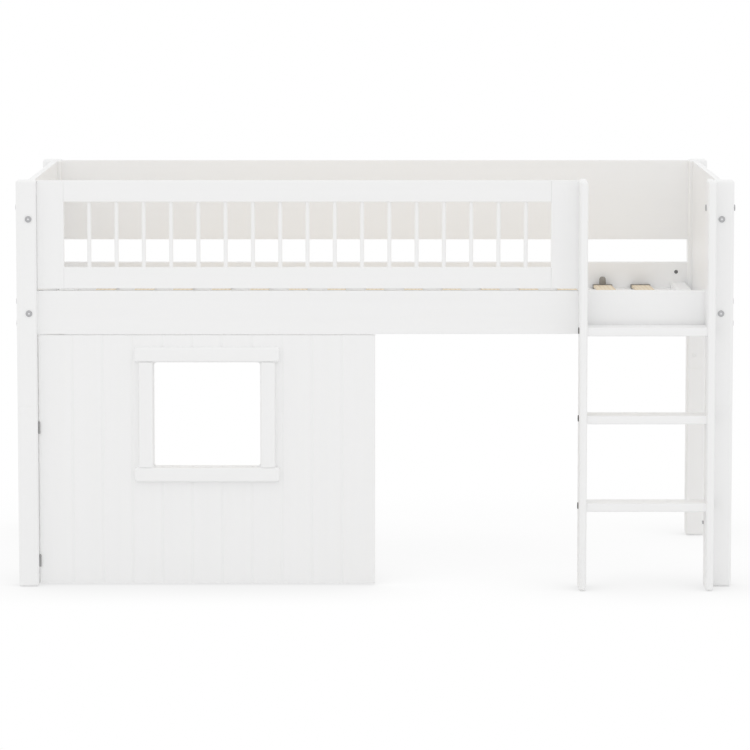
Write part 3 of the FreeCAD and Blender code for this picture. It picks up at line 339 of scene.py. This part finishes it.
def handled_metal():
    """Fine scratches and a cloudy bloom on plated or bronzed metal."""
    name = "Handled metal"
    if name in bpy.data.node_groups:
        return bpy.data.node_groups[name]
    group, start, finish = effect_group(
        name, [("Place", "NodeSocketVector")],
        [("Bloom", "NodeSocketFloat"), ("Roughness", "NodeSocketFloat"), ("Height", "NodeSocketFloat")])
    link = group.links.new
    bloom = add_node(group, "ShaderNodeTexNoise", (-600, 150), scale=260.0, detail=4.0)
    link(start.outputs["Place"], bloom.inputs["Vector"])
    scratch = add_node(group, "ShaderNodeTexNoise", (-600, -150), scale=1500.0, detail=2.0)
    link(start.outputs["Place"], scratch.inputs["Vector"])
    rough = add_node(group, "ShaderNodeMapRange", (-300, -50))
    rough.inputs["To Min"].default_value = 0.26
    rough.inputs["To Max"].default_value = 0.46
    link(bloom.outputs["Fac"], rough.inputs["Value"])
    link(bloom.outputs["Fac"], finish.inputs["Bloom"])
    link(rough.outputs["Result"], finish.inputs["Roughness"])
    link(scratch.outputs["Fac"], finish.inputs["Height"])
    return group


def start_material(name):
    """Start a node material and return it, its tree and its shader."""
    material = bpy.data.materials.new(name)
    material.use_nodes = True
    tree = material.node_tree
    tree.nodes.clear()
    shader = add_node(tree, "ShaderNodeBsdfPrincipled", (300, 0))
    output = add_node(tree, "ShaderNodeOutputMaterial", (600, 0))
    tree.links.new(shader.outputs["BSDF"], output.inputs["Surface"])
    return material, tree, shader


def object_place(tree, scale=(1, 1, 1)):
    """Object coordinates, stretched by a Mapping node."""
    coordinates = add_node(tree, "ShaderNodeTexCoord", (-900, 0))
    mapping = add_node(tree, "ShaderNodeMapping", (-700, 0))
    mapping.inputs["Scale"].default_value = scale
    tree.links.new(coordinates.outputs["Object"], mapping.inputs["Vector"])
    return coordinates.outputs["Object"], mapping.outputs["Vector"]


def mix_colours(tree, factor, first, second):
    """Blend two colours by a varying factor."""
    blend = add_node(tree, "ShaderNodeMix", (0, 200), data_type="RGBA")
    blend.inputs[MIX_FIRST].default_value = (*first, 1)
    blend.inputs[MIX_SECOND].default_value = (*second, 1)
    tree.links.new(factor, blend.inputs[MIX_FACTOR])
    return blend.outputs[MIX_RESULT]


def raise_bump(tree, shader, height, strength, distance):
    """Feed a height into the shader's normal."""
    bump = add_node(tree, "ShaderNodeBump", (50, -250), strength=strength, distance=distance)
    tree.links.new(height, bump.inputs["Height"])
    tree.links.new(bump.outputs["Normal"], shader.inputs["Normal"])


def lacquer_material(name, scale):
    """Satin white lacquer over closed grain that runs along the axis with the smallest scale."""
    if name in bpy.data.materials:
        return bpy.data.materials[name]
    finishes = settings()[0]
    material, tree, shader = start_material(name)
    place, along = object_place(tree, scale)
    grain = add_node(tree, "ShaderNodeGroup", (-400, 0), node_tree=grain_under_lacquer())
    tree.links.new(along, grain.inputs["Along"])
    tree.links.new(place, grain.inputs["Place"])
    colour = mix_colours(tree, grain.outputs["Streak"], finishes.lacquer, finishes.lacquer_shade)
    tree.links.new(colour, shader.inputs["Base Color"])
    tree.links.new(grain.outputs["Roughness"], shader.inputs["Roughness"])
    raise_bump(tree, shader, grain.outputs["Height"], strength=0.06, distance=0.0004)
    return material


def lacquer_with_painted_groove_shade():
    """Upright lacquer with painted shade: a little darker in the grooves of the door's front."""
    finishes, fittings, _ = settings()
    low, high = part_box("door_panel")
    middle = (low[0] + high[0]) / 2
    half_pitch = fittings.groove_pitch / 2
    material = lacquer_material("lacquer_grooved", UPRIGHT_GRAIN)
    tree = material.node_tree
    shader = tree.nodes["Principled BSDF"]
    plain = shader.inputs["Base Color"].links[0].from_socket
    place = add_node(tree, "ShaderNodeSeparateXYZ", (-700, 450))
    tree.links.new(tree.nodes["Texture Coordinate"].outputs["Object"], place.inputs["Vector"])

    def work(operation, value, *numbers):
        """Add a Math node on a value and give its result."""
        node = add_node(tree, "ShaderNodeMath", (-500, 450), operation=operation)
        tree.links.new(value, node.inputs[0])
        for socket, number in zip(node.inputs[1:], numbers):
            if isinstance(number, bpy.types.NodeSocket):
                tree.links.new(number, socket)
            else:
                socket.default_value = number
        return node.outputs["Value"]

    from_first = work("SUBTRACT", place.outputs["X"], middle - half_pitch)
    from_line = work("PINGPONG", from_first, half_pitch)
    planked = work("COMPARE", place.outputs["X"], middle, (high[0] - low[0]) / 2 - half_pitch)
    front = work("LESS_THAN", place.outputs["Y"], low[1] + fittings.groove_reach)
    slope = add_node(tree, "ShaderNodeMapRange", (-300, 450))
    slope.inputs["From Min"].default_value = fittings.groove_width / 2
    slope.inputs["From Max"].default_value = fittings.groove_width / 4
    tree.links.new(from_line, slope.inputs["Value"])
    # Painted shade: the lacquer is darkened along each groove line on the door's front
    groove_shade_mask = work("MULTIPLY", work("MULTIPLY", slope.outputs["Result"], planked), front)
    groove_shaded = mix_colours(tree, groove_shade_mask, finishes.lacquer, finishes.groove_painted_shade)
    tree.links.new(plain, groove_shaded.node.inputs[MIX_FIRST])
    tree.links.new(groove_shaded, shader.inputs["Base Color"])
    return material


def bare_wood_material(name, scale, pale, dark):
    """Planed bare timber with growth rings along the board."""
    material, tree, shader = start_material(name)
    along = object_place(tree, scale)[1]
    rings = add_node(tree, "ShaderNodeGroup", (-400, 0), node_tree=growth_rings())
    tree.links.new(along, rings.inputs["Along"])
    colour = mix_colours(tree, rings.outputs["Ring"], pale, dark)
    tree.links.new(colour, shader.inputs["Base Color"])
    rough = add_node(tree, "ShaderNodeMapRange", (-100, -100))
    rough.inputs["To Min"].default_value = 0.5
    rough.inputs["To Max"].default_value = 0.72
    tree.links.new(rings.outputs["Fibre"], rough.inputs["Value"])
    tree.links.new(rough.outputs["Result"], shader.inputs["Roughness"])
    raise_bump(tree, shader, rings.outputs["Height"], strength=0.15, distance=0.0005)
    return material


def metal_material(name, colour, wear, metallic):
    """Plated, bronzed or oiled steel, paler by a factor where it has been handled."""
    if name in bpy.data.materials:
        return bpy.data.materials[name]
    material, tree, shader = start_material(name)
    place = object_place(tree)[0]
    handled = add_node(tree, "ShaderNodeGroup", (-400, 0), node_tree=handled_metal())
    tree.links.new(place, handled.inputs["Place"])
    worn = [min(1, part * wear) for part in colour]
    tree.links.new(mix_colours(tree, handled.outputs["Bloom"], colour, worn), shader.inputs["Base Color"])
    tree.links.new(handled.outputs["Roughness"], shader.inputs["Roughness"])
    shader.inputs["Metallic"].default_value = metallic
    raise_bump(tree, shader, handled.outputs["Height"], strength=0.08, distance=0.0002)
    return material


def moulded_plastic():
    """Grey plastic of the slat caps and pegs, with a fine spark-eroded texture."""
    name = "moulded_plastic"
    if name in bpy.data.materials:
        return bpy.data.materials[name]
    finishes = settings()[0]
    material, tree, shader = start_material(name)
    place = object_place(tree)[0]
    grit = add_node(tree, "ShaderNodeTexNoise", (-400, -150), scale=900.0, detail=2.0)
    tree.links.new(place, grit.inputs["Vector"])
    cloud = add_node(tree, "ShaderNodeTexNoise", (-400, 150), scale=40.0, detail=3.0)
    tree.links.new(place, cloud.inputs["Vector"])
    colour = mix_colours(tree, cloud.outputs["Fac"], finishes.plastic, finishes.plastic_pale)
    tree.links.new(colour, shader.inputs["Base Color"])
    rough = add_node(tree, "ShaderNodeMapRange", (-100, -100))
    rough.inputs["To Min"].default_value = 0.42
    rough.inputs["To Max"].default_value = 0.62
    tree.links.new(grit.outputs["Fac"], rough.inputs["Value"])
    tree.links.new(rough.outputs["Result"], shader.inputs["Roughness"])
    raise_bump(tree, shader, grit.outputs["Fac"], strength=0.2, distance=0.0002)
    return material


def zinc_material():
    """Finish of the plated bolts."""
    return metal_material("zinc_plate", settings()[0].zinc, wear=1.25, metallic=1.0)


def bright_zinc():
    """Paler zinc in the sockets of the plated bolts, a painted highlight."""
    return metal_material("bright_zinc", settings()[0].bright_zinc, wear=1.2, metallic=1.0)


def steel_material():
    """Finish of the hinges."""
    return metal_material("brushed_steel", settings()[0].steel, wear=1.3, metallic=0.9)


def oiled_steel():
    """Finish of the barrel nuts and of the steel that stays out of sight."""
    return metal_material("oiled_steel", settings()[0].oiled_steel, wear=1.4, metallic=0.9)


def bronze_material():
    """Finish of the dark ladder bolts."""
    return metal_material("bronzed_steel", settings()[0].bronze, wear=1.8, metallic=0.75)


def finish_node(node, material):
    """Give a carried-over solid its finish."""
    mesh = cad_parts[node].data
    mesh.materials.clear()
    mesh.materials.append(material)


def add_piece(name, bm, materials, body, replaced=()):
    """Turn a finished bmesh into a piece that rides on a body."""
    bmesh.ops.remove_doubles(bm, verts=bm.verts, dist=WELD_GAP)
    bmesh.ops.recalc_face_normals(bm, faces=bm.faces)
    mesh = bpy.data.meshes.new(name)
    bm.to_mesh(mesh)
    bm.free()
    for material in materials:
        mesh.materials.append(material)
    for face in mesh.polygons:
        face.use_smooth = True
    mesh.set_sharp_from_angle(angle=SMOOTH_ANGLE)
    piece = bpy.data.objects.new(name, mesh)
    bpy.context.scene.collection.objects.link(piece)
    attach(piece, body)
    if replaced:
        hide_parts(*replaced)


def solids_of(node):
    """The separate solids of a carried-over node, each as a list of its corner points."""
    bm = bmesh.new()
    bm.from_mesh(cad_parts[node].data)
    bmesh.ops.remove_doubles(bm, verts=bm.verts, dist=CORNER_GAP)
    left = set(bm.verts)
    solids = []
    while left:
        front = [left.pop()]
        points = []
        while front:
            vert = front.pop()
            points.append(vert.co.copy())
            for edge in vert.link_edges:
                other = edge.other_vert(vert)
                if other in left:
                    left.remove(other)
                    front.append(other)
        solids.append(points)
    bm.free()
    return solids


def box_of(points):
    """Lowest and highest corner of some points."""
    low = Vector([min(point[axis] for point in points) for axis in range(3)])
    high = Vector([max(point[axis] for point in points) for axis in range(3)])
    return low, high


def ring(bm, height, radius):
    """One loop of points round the z axis; the radius is a number or a function of the angle."""
    made = bmesh.ops.create_circle(bm, cap_ends=False, segments=RING_STEPS, radius=1.0)
    for vert in made["verts"]:
        turn = math.atan2(vert.co.y, vert.co.x)
        reach = radius(turn) if callable(radius) else radius
        vert.co = Vector((vert.co.x * reach, vert.co.y * reach, height))
    return made["verts"]


def ring_edges(verts):
    """Edges of a loop."""
    chosen = set(verts)
    return [edge for edge in {e for v in verts for e in v.link_edges} if set(edge.verts) <= chosen]


def turn_up(bm, profile):
    """Bridge a stack of rings into a turned shape with both ends closed; return its points."""
    loops = [ring(bm, height, radius) for height, radius in profile]
    for lower, upper in zip(loops, loops[1:]):
        bmesh.ops.bridge_loops(bm, edges=ring_edges(lower) + ring_edges(upper))
    for loop in (loops[0], loops[-1]):
        bmesh.ops.contextual_create(bm, geom=ring_edges(loop))
    return [vert for loop in loops for vert in loop]


def quarter_turn(steps):
    """Angles that part a quarter turn into equal steps, both ends included."""
    return [step / steps * math.pi / 2 for step in range(steps + 1)]


def six_sided(width):
    """Radius of a hexagon of a given width across its flats, by angle."""
    sector = math.pi / 3
    return lambda turn: width / 2 / math.cos((turn % sector) - sector / 2)


def cross_slot(reach, narrow):
    """Radius of a soft four-armed recess, by angle."""
    return lambda turn: narrow + (reach - narrow) * math.cos(2 * turn) ** 4


def ribbed(reach, ribs, depth):
    """Radius of a grip with ribs cut into it, by angle."""
    return lambda turn: reach - depth * (0.5 + 0.5 * math.cos(ribs * turn)) ** 2


def stand_on(bm, verts, place, direction):
    """Turn a shape that stands on z = 0 so that its z axis points along a direction, and place it."""
    turn = Vector((0, 0, 1)).rotation_difference(direction).to_matrix().to_4x4()
    bmesh.ops.transform(bm, matrix=Matrix.Translation(place) @ turn, verts=verts)


def bolt_places(node):
    """Seat, direction, head radius, head height, shank length and shank radius of each bolt."""
    places = []
    for points in solids_of(node):
        low, high = box_of(points)
        spans = high - low
        axis = max(range(3), key=lambda number: spans[number])
        middle = (low + high) / 2
        head_radius = min(spans) / 2

        def off_axis(point):
            """Distance of a point from the bolt's axis."""
            away = point - middle
            away[axis] = 0
            return away.length

        rim = [point[axis] for point in points if off_axis(point) > head_radius * RIM_SHARE]
        at_high = sum(rim) / len(rim) > middle[axis]
        seat = min(rim) if at_high else max(rim)
        place = middle.copy()
        place[axis] = seat
        direction = Vector((0, 0, 0))
        direction[axis] = 1 if at_high else -1
        outer = high[axis] if at_high else low[axis]
        inner = low[axis] if at_high else high[axis]
        shank = min(off_axis(point) for point in points if abs(point[axis] - inner) < LEVEL_GAP)
        places.append((place, direction, head_radius, abs(outer - seat), abs(seat - inner), shank))
    return places


class BED_OT_lacquered_boards(bpy.types.Operator):
    """Lacquer the posts, rails, panels, guards, ladder and door"""

    bl_idname = "bed.lacquered_boards"
    bl_label = "Lacquered boards"

    def execute(self, context):
        for name, scale, nodes in (
            ("lacquer_upright", UPRIGHT_GRAIN, UPRIGHT_BOARDS),
            ("lacquer_lengthwise", LENGTHWISE_GRAIN, LENGTHWISE_BOARDS),
            ("lacquer_crosswise", CROSSWISE_GRAIN, CROSSWISE_BOARDS),
        ):
            for node in nodes:
                finish_node(node, lacquer_material(name, scale))
        # The door's lacquer carries painted shade in its grooves
        finish_node("door_panel", lacquer_with_painted_groove_shade())
        return {"FINISHED"}


class BED_OT_bare_wood(bpy.types.Operator):
    """Give the slats and dowels their bare timber"""

    bl_idname = "bed.bare_wood"
    bl_label = "Slats and dowels"

    def execute(self, context):
        finishes = settings()[0]
        pine = bare_wood_material("planed_pine", SLAT_GRAIN, finishes.pine, finishes.pine_ring)
        for node in SLAT_NODES:
            finish_node(node, pine)
        beech = bare_wood_material("bare_beech", DOWEL_GRAIN, finishes.beech, finishes.beech_ring)
        finish_node("wood_dowels", beech)
        return {"FINISHED"}


class BED_OT_slat_end_caps(bpy.types.Operator):
    """Give the caps on the slats' ends their grey plastic"""

    bl_idname = "bed.slat_end_caps"
    bl_label = "Slat end caps"

    def execute(self, context):
        finish_node("slat_end_caps", moulded_plastic())
        return {"FINISHED"}


class BED_OT_slat_pegs(bpy.types.Operator):
    """Turn the ribbed knobs of the slat pegs"""

    bl_idname = "bed.slat_pegs"
    bl_label = "Slat pegs"

    def execute(self, context):
        fittings = settings()[1]
        bm = bmesh.new()
        for points in solids_of("slat_pegs"):
            low, high = box_of(points)
            radius = (high.x - low.x) / 2
            middle = (low + high) / 2
            foot = [point for point in points if point.z < low.z + LEVEL_GAP]
            stem_radius = max((point.xy - middle.xy).length for point in foot)
            seat = min(point.z for point in points if (point.xy - middle.xy).length > radius * RIM_SHARE)
            height = high.z - seat
            grip = ribbed(radius, fittings.peg_ribs, fittings.peg_rib_depth)
            dome, shoulder = PEG_DOME_SHARES
            profile = [(low.z, stem_radius), (seat, stem_radius)]
            profile += [(seat + height * up, radius * out) for up, out in PEG_SKIRT_SHARES]
            profile += [(seat + height * up, grip) for up in PEG_GRIP_SHARES]
            for bend in quarter_turn(DOME_STEPS)[:-1]:
                up = dome + (1 - dome) * math.sin(bend)
                out = PEG_CROWN_SHARE + (shoulder - PEG_CROWN_SHARE) * math.cos(bend)
                profile.append((seat + height * up, radius * out))
            profile.append((high.z, radius * PEG_TIP_SHARE))
            verts = turn_up(bm, profile)
            bmesh.ops.translate(bm, verts=verts, vec=Vector((middle.x, middle.y, 0)))
        add_piece("slat_peg_knobs", bm, [moulded_plastic()], "frame", ["slat_pegs"])
        return {"FINISHED"}


class BED_OT_bolts(bpy.types.Operator):
    """Turn the flat-headed bolts of the bed and ladder"""

    bl_idname = "bed.bolts"
    bl_label = "Bolts"

    def execute(self, context):
        fittings = settings()[1]
        plated = [zinc_material(), bright_zinc()]
        for node, materials, slot in (
            ("rail_bolts", plated, "bolt_steel"),
            ("panel_bolts", plated, "bolt_steel"),
            ("ladder_bolts", [bronze_material()] * 2, "dark_steel"),
            ("ladder_through_bolt", plated, "bolt_steel"),
        ):
            bm = bmesh.new()
            for place, direction, radius, head, length, shank in bolt_places(node):
                rim = min(fittings.bolt_rim, head * BOLT_RIM_LIMIT_SHARE)
                width = min(fittings.bolt_socket, radius * SOCKET_LIMIT_SHARE)
                socket = six_sided(width)
                mouth = six_sided(width * SOCKET_MOUTH_SHARE)
                profile = [(-length, shank * BOLT_TIP_SHARE), (-length + shank * BOLT_TAPER_SHARE, shank),
                           (0, shank)]
                profile += [(head * up, radius * out) for up, out in BOLT_SKIRT_SHARES]
                for bend in quarter_turn(RIM_STEPS):
                    profile.append((head - rim + rim * math.sin(bend) * BOLT_CROWN_SHARE,
                                    radius - rim + rim * math.cos(bend)))
                profile += [(head * up, radius * out) for up, out in BOLT_FACE_SHARES]
                profile += [(head, mouth), (head - fittings.bolt_bevel, socket),
                            (head - fittings.bolt_socket_depth, socket)]
                verts = turn_up(bm, profile)
                # The sockets take the paler zinc, a painted highlight
                for face in {face for vert in verts[-RING_STEPS:] for face in vert.link_faces}:
                    face.material_index = 1
                stand_on(bm, verts, place, direction)
            add_piece(f"{node}_turned", bm, materials, "frame", [node])
        return {"FINISHED"}


class BED_OT_barrel_nuts(bpy.types.Operator):
    """Finish the barrel nuts and the steel that stays out of sight"""

    bl_idname = "bed.barrel_nuts"
    bl_label = "Nuts and hidden steel"

    def execute(self, context):
        for node in ["barrel_nuts", *HIDDEN_STEEL]:
            finish_node(node, oiled_steel())
        return {"FINISHED"}


class BED_OT_cover_plugs(bpy.types.Operator):
    """Press a white plug into the hole of each nut that joins a leg to its post"""

    bl_idname = "bed.cover_plugs"
    bl_label = "Cover plugs"

    def execute(self, context):
        fittings = settings()[1]
        radius = fittings.plug / 2
        inner = -fittings.plug_length
        face = -fittings.plug_sink
        edge = fittings.plug_round
        dimple, dimple_floor = PLUG_DIMPLE_SHARES
        profile = [(inner, radius * PLUG_TIP_SHARE), (inner + fittings.plug_taper, radius)]
        for bend in quarter_turn(RIM_STEPS):
            profile.append((face - edge * (1 - math.sin(bend)), radius - edge * (1 - math.cos(bend))))
        profile += [(face, radius * dimple), (face - fittings.plug_dimple, radius * dimple_floor)]
        bm = bmesh.new()
        for points in solids_of("barrel_nuts"):
            low, high = box_of(points)
            middle = (low + high) / 2
            for node in POSTS:
                post_low, post_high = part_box(node)
                if all(post_low[axis] < middle[axis] < post_high[axis] for axis in range(3)):
                    inward = -1 if "back" in node else 1
                    mouth = post_high[1] if inward > 0 else post_low[1]
                    stand_on(bm, turn_up(bm, profile), Vector((middle.x, mouth, middle.z)),
                             Vector((0, inward, 0)))
        plug_white = lacquer_material("plug_white", PLUG_GRAIN)
        add_piece("leg_nut_plugs", bm, [plug_white], "frame")
        return {"FINISHED"}


class BED_OT_hinges(bpy.types.Operator):
    """Finish the butt hinges and screw their leaves on"""

    bl_idname = "bed.hinges"
    bl_label = "Hinges"

    def execute(self, context):
        fittings = settings()[1]
        for node in HINGE_NODES:
            finish_node(node, steel_material())
        radius = fittings.screw_head / 2
        rise = fittings.screw_rise
        slot = cross_slot(*(radius * share for share in SCREW_SLOT_SHARES))
        profile = [(-fittings.screw_sink, radius)]
        profile += [(rise * up, radius * out) for up, out in SCREW_DOME_SHARES]
        profile += [(rise, slot), (rise * SCREW_SLOT_FLOOR_SHARE, slot)]
        for node, body, facing in (("hinge_leg_leaves", "frame", 1), ("hinge_door_leaves", "door", -1)):
            bm = bmesh.new()
            for points in solids_of(node):
                low, high = box_of(points)
                back = [point for point in points if point.y > high.y - LEVEL_GAP]
                face = (max if facing > 0 else min)(point.x for point in back)
                inset = high.y - (high.y - low.y) * SCREW_INSET_SHARE
                for share in SCREW_HEIGHT_SHARES:
                    place = Vector((face, inset, low.z + (high.z - low.z) * share))
                    stand_on(bm, turn_up(bm, profile), place, Vector((facing, 0, 0)))
            add_piece(f"{node}_screws", bm, [zinc_material()], body)
        return {"FINISHED"}


def seen_directly(tree):
    """1 for rays that go straight, by reflection or through glass to the camera."""
    path = add_node(tree, "ShaderNodeLightPath", (-900, 300))
    glossy = add_node(tree, "ShaderNodeMath", (-650, 300), operation="MAXIMUM")
    tree.links.new(path.outputs["Is Camera Ray"], glossy.inputs[0])
    tree.links.new(path.outputs["Is Glossy Ray"], glossy.inputs[1])
    either = add_node(tree, "ShaderNodeMath", (-450, 300), operation="MAXIMUM")
    tree.links.new(glossy.outputs["Value"], either.inputs[0])
    tree.links.new(path.outputs["Is Transmission Ray"], either.inputs[1])
    return either.outputs["Value"]


class BED_OT_stage(bpy.types.Operator):
    """Set the camera, floor and studio light"""

    bl_idname = "bed.stage"
    bl_label = "Stage"

    def execute(self, context):
        stage = settings()[2]
        scene = context.scene
        scene.view_settings.view_transform = "Standard"
        camera = bpy.data.objects.new("camera", bpy.data.cameras.new("camera"))
        scene.collection.objects.link(camera)
        camera.data.lens = stage.lens
        camera.data.sensor_width = SENSOR_WIDTH
        camera.data.clip_end = CLIP_END
        camera.data.shift_y = stage.rise
        camera.location = stage.place
        camera.rotation_euler = (math.pi / 2 - stage.pitch, 0, 0)
        scene.camera = camera
        self.lay_floor(scene, stage)
        self.light(scene, stage)
        return {"FINISHED"}

    def lay_floor(self, scene, stage):
        """Pale floor that reads as white away from the bed, with a soft painted shade by its feet: ambient
        occlusion darkens its glow.
        """
        bm = bmesh.new()
        bmesh.ops.create_grid(bm, x_segments=1, y_segments=1, size=stage.floor_side / 2)
        bmesh.ops.translate(bm, verts=bm.verts, vec=(0, 0, -stage.floor_drop))
        mesh = bpy.data.meshes.new("studio_floor")
        bm.to_mesh(mesh)
        bm.free()
        floor = bpy.data.objects.new("studio_floor", mesh)
        scene.collection.objects.link(floor)
        material = bpy.data.materials.new("studio_floor")
        material.use_nodes = True
        tree = material.node_tree
        tree.nodes.clear()
        matte = add_node(tree, "ShaderNodeBsdfDiffuse", (-200, 0))
        matte.inputs["Color"].default_value = (*stage.floor, 1)
        behind = add_node(tree, "ShaderNodeAmbientOcclusion", (-700, -200), samples=SHADE_SAMPLES,
                          distance=stage.floor_reach)
        side = add_node(tree, "ShaderNodeCombineXYZ", (-900, -300), x=stage.shade_side[0],
                        y=stage.shade_side[1], z=stage.shade_side[2])
        tree.links.new(side.outputs["Vector"], behind.inputs["Normal"])
        under = add_node(tree, "ShaderNodeAmbientOcclusion", (-700, -450), samples=SHADE_SAMPLES,
                         distance=stage.contact_reach)
        # Painted shade: two ambient occlusion levels darken the floor's glow behind the bed and at its feet
        painted_floor_shade = add_node(tree, "ShaderNodeMath", (-250, -250), operation="MULTIPLY")
        shades = ((behind, stage.floor_shade), (under, stage.contact_shade))
        for number, (occlusion, shade) in enumerate(shades):
            level = add_node(tree, "ShaderNodeMapRange", (-450, -200 - 250 * number))
            level.inputs["To Min"].default_value = 1 - shade
            tree.links.new(occlusion.outputs["AO"], level.inputs["Value"])
            tree.links.new(level.outputs["Result"], painted_floor_shade.inputs[number])
        glow = add_node(tree, "ShaderNodeEmission", (-100, -200))
        tree.links.new(painted_floor_shade.outputs["Value"], glow.inputs["Strength"])
        choose = add_node(tree, "ShaderNodeMixShader", (100, 0))
        output = add_node(tree, "ShaderNodeOutputMaterial", (300, 0))
        tree.links.new(seen_directly(tree), choose.inputs[0])
        tree.links.new(matte.outputs["BSDF"], choose.inputs[1])
        tree.links.new(glow.outputs["Emission"], choose.inputs[2])
        tree.links.new(choose.outputs["Shader"], output.inputs["Surface"])
        mesh.materials.append(material)

    def light(self, scene, stage):
        """Even white light all round and one large soft lamp in front."""
        world = bpy.data.worlds.new("studio")
        scene.world = world
        world.use_nodes = True
        tree = world.node_tree
        tree.nodes.clear()
        even = add_node(tree, "ShaderNodeBackground", (-100, 100))
        even.inputs["Strength"].default_value = stage.sky
        white = add_node(tree, "ShaderNodeBackground", (-100, -100))
        for background in (even, white):
            background.inputs["Color"].default_value = (1, 1, 1, 1)
        choose = add_node(tree, "ShaderNodeMixShader", (150, 0))
        output = add_node(tree, "ShaderNodeOutputWorld", (350, 0))
        tree.links.new(seen_directly(tree), choose.inputs[0])
        tree.links.new(even.outputs["Background"], choose.inputs[1])
        tree.links.new(white.outputs["Background"], choose.inputs[2])
        tree.links.new(choose.outputs["Shader"], output.inputs["Surface"])
        lamp = bpy.data.lights.new("key_softbox", "AREA")
        lamp.shape = "RECTANGLE"
        lamp.size, lamp.size_y = stage.key_size
        lamp.energy = stage.key
        softbox = bpy.data.objects.new("key_softbox", lamp)
        scene.collection.objects.link(softbox)
        softbox.location = stage.key_place
        aim = Vector(stage.key_aim) - softbox.location
        softbox.rotation_euler = aim.to_track_quat("-Z", "Y").to_euler()


STEPS = (
    BED_OT_lacquered_boards,
    BED_OT_bare_wood,
    BED_OT_slat_end_caps,
    BED_OT_slat_pegs,
    BED_OT_bolts,
    BED_OT_barrel_nuts,
    BED_OT_cover_plugs,
    BED_OT_hinges,
    BED_OT_stage,
)


class BED_PT_dressing(bpy.types.Panel):
    """Lists the steps that dress the bed"""

    bl_idname = "BED_PT_dressing"
    bl_label = "Mid sleeper bed"
    bl_space_type = "VIEW_3D"
    bl_region_type = "UI"
    bl_category = "Bed"

    def draw(self, context):
        for step in STEPS:
            self.layout.operator(step.bl_idname)


GROUPS = {"bed_finishes": BedFinishes, "bed_fittings": BedFittings, "bed_stage": BedStage}


def register():
    """Register the classes and their settings."""
    for group in GROUPS.values():
        bpy.utils.register_class(group)
    for name, group in GROUPS.items():
        setattr(bpy.types.Scene, name, PointerProperty(type=group))
    for step in (*STEPS, BED_PT_dressing):
        bpy.utils.register_class(step)


def unregister():
    """Take the classes and settings away again."""
    for step in (BED_PT_dressing, *reversed(STEPS)):
        bpy.utils.unregister_class(step)
    for name in GROUPS:
        delattr(bpy.types.Scene, name)
    for group in reversed(list(GROUPS.values())):
        bpy.utils.unregister_class(group)


def main():
    """Dress the bed step by step."""
    register()
    bpy.ops.bed.lacquered_boards()
    bpy.ops.bed.bare_wood()
    bpy.ops.bed.slat_end_caps()
    bpy.ops.bed.slat_pegs()
    bpy.ops.bed.bolts()
    bpy.ops.bed.barrel_nuts()
    bpy.ops.bed.cover_plugs()
    bpy.ops.bed.hinges()
    bpy.ops.bed.stage()


if __name__ == "__main__":
    main()
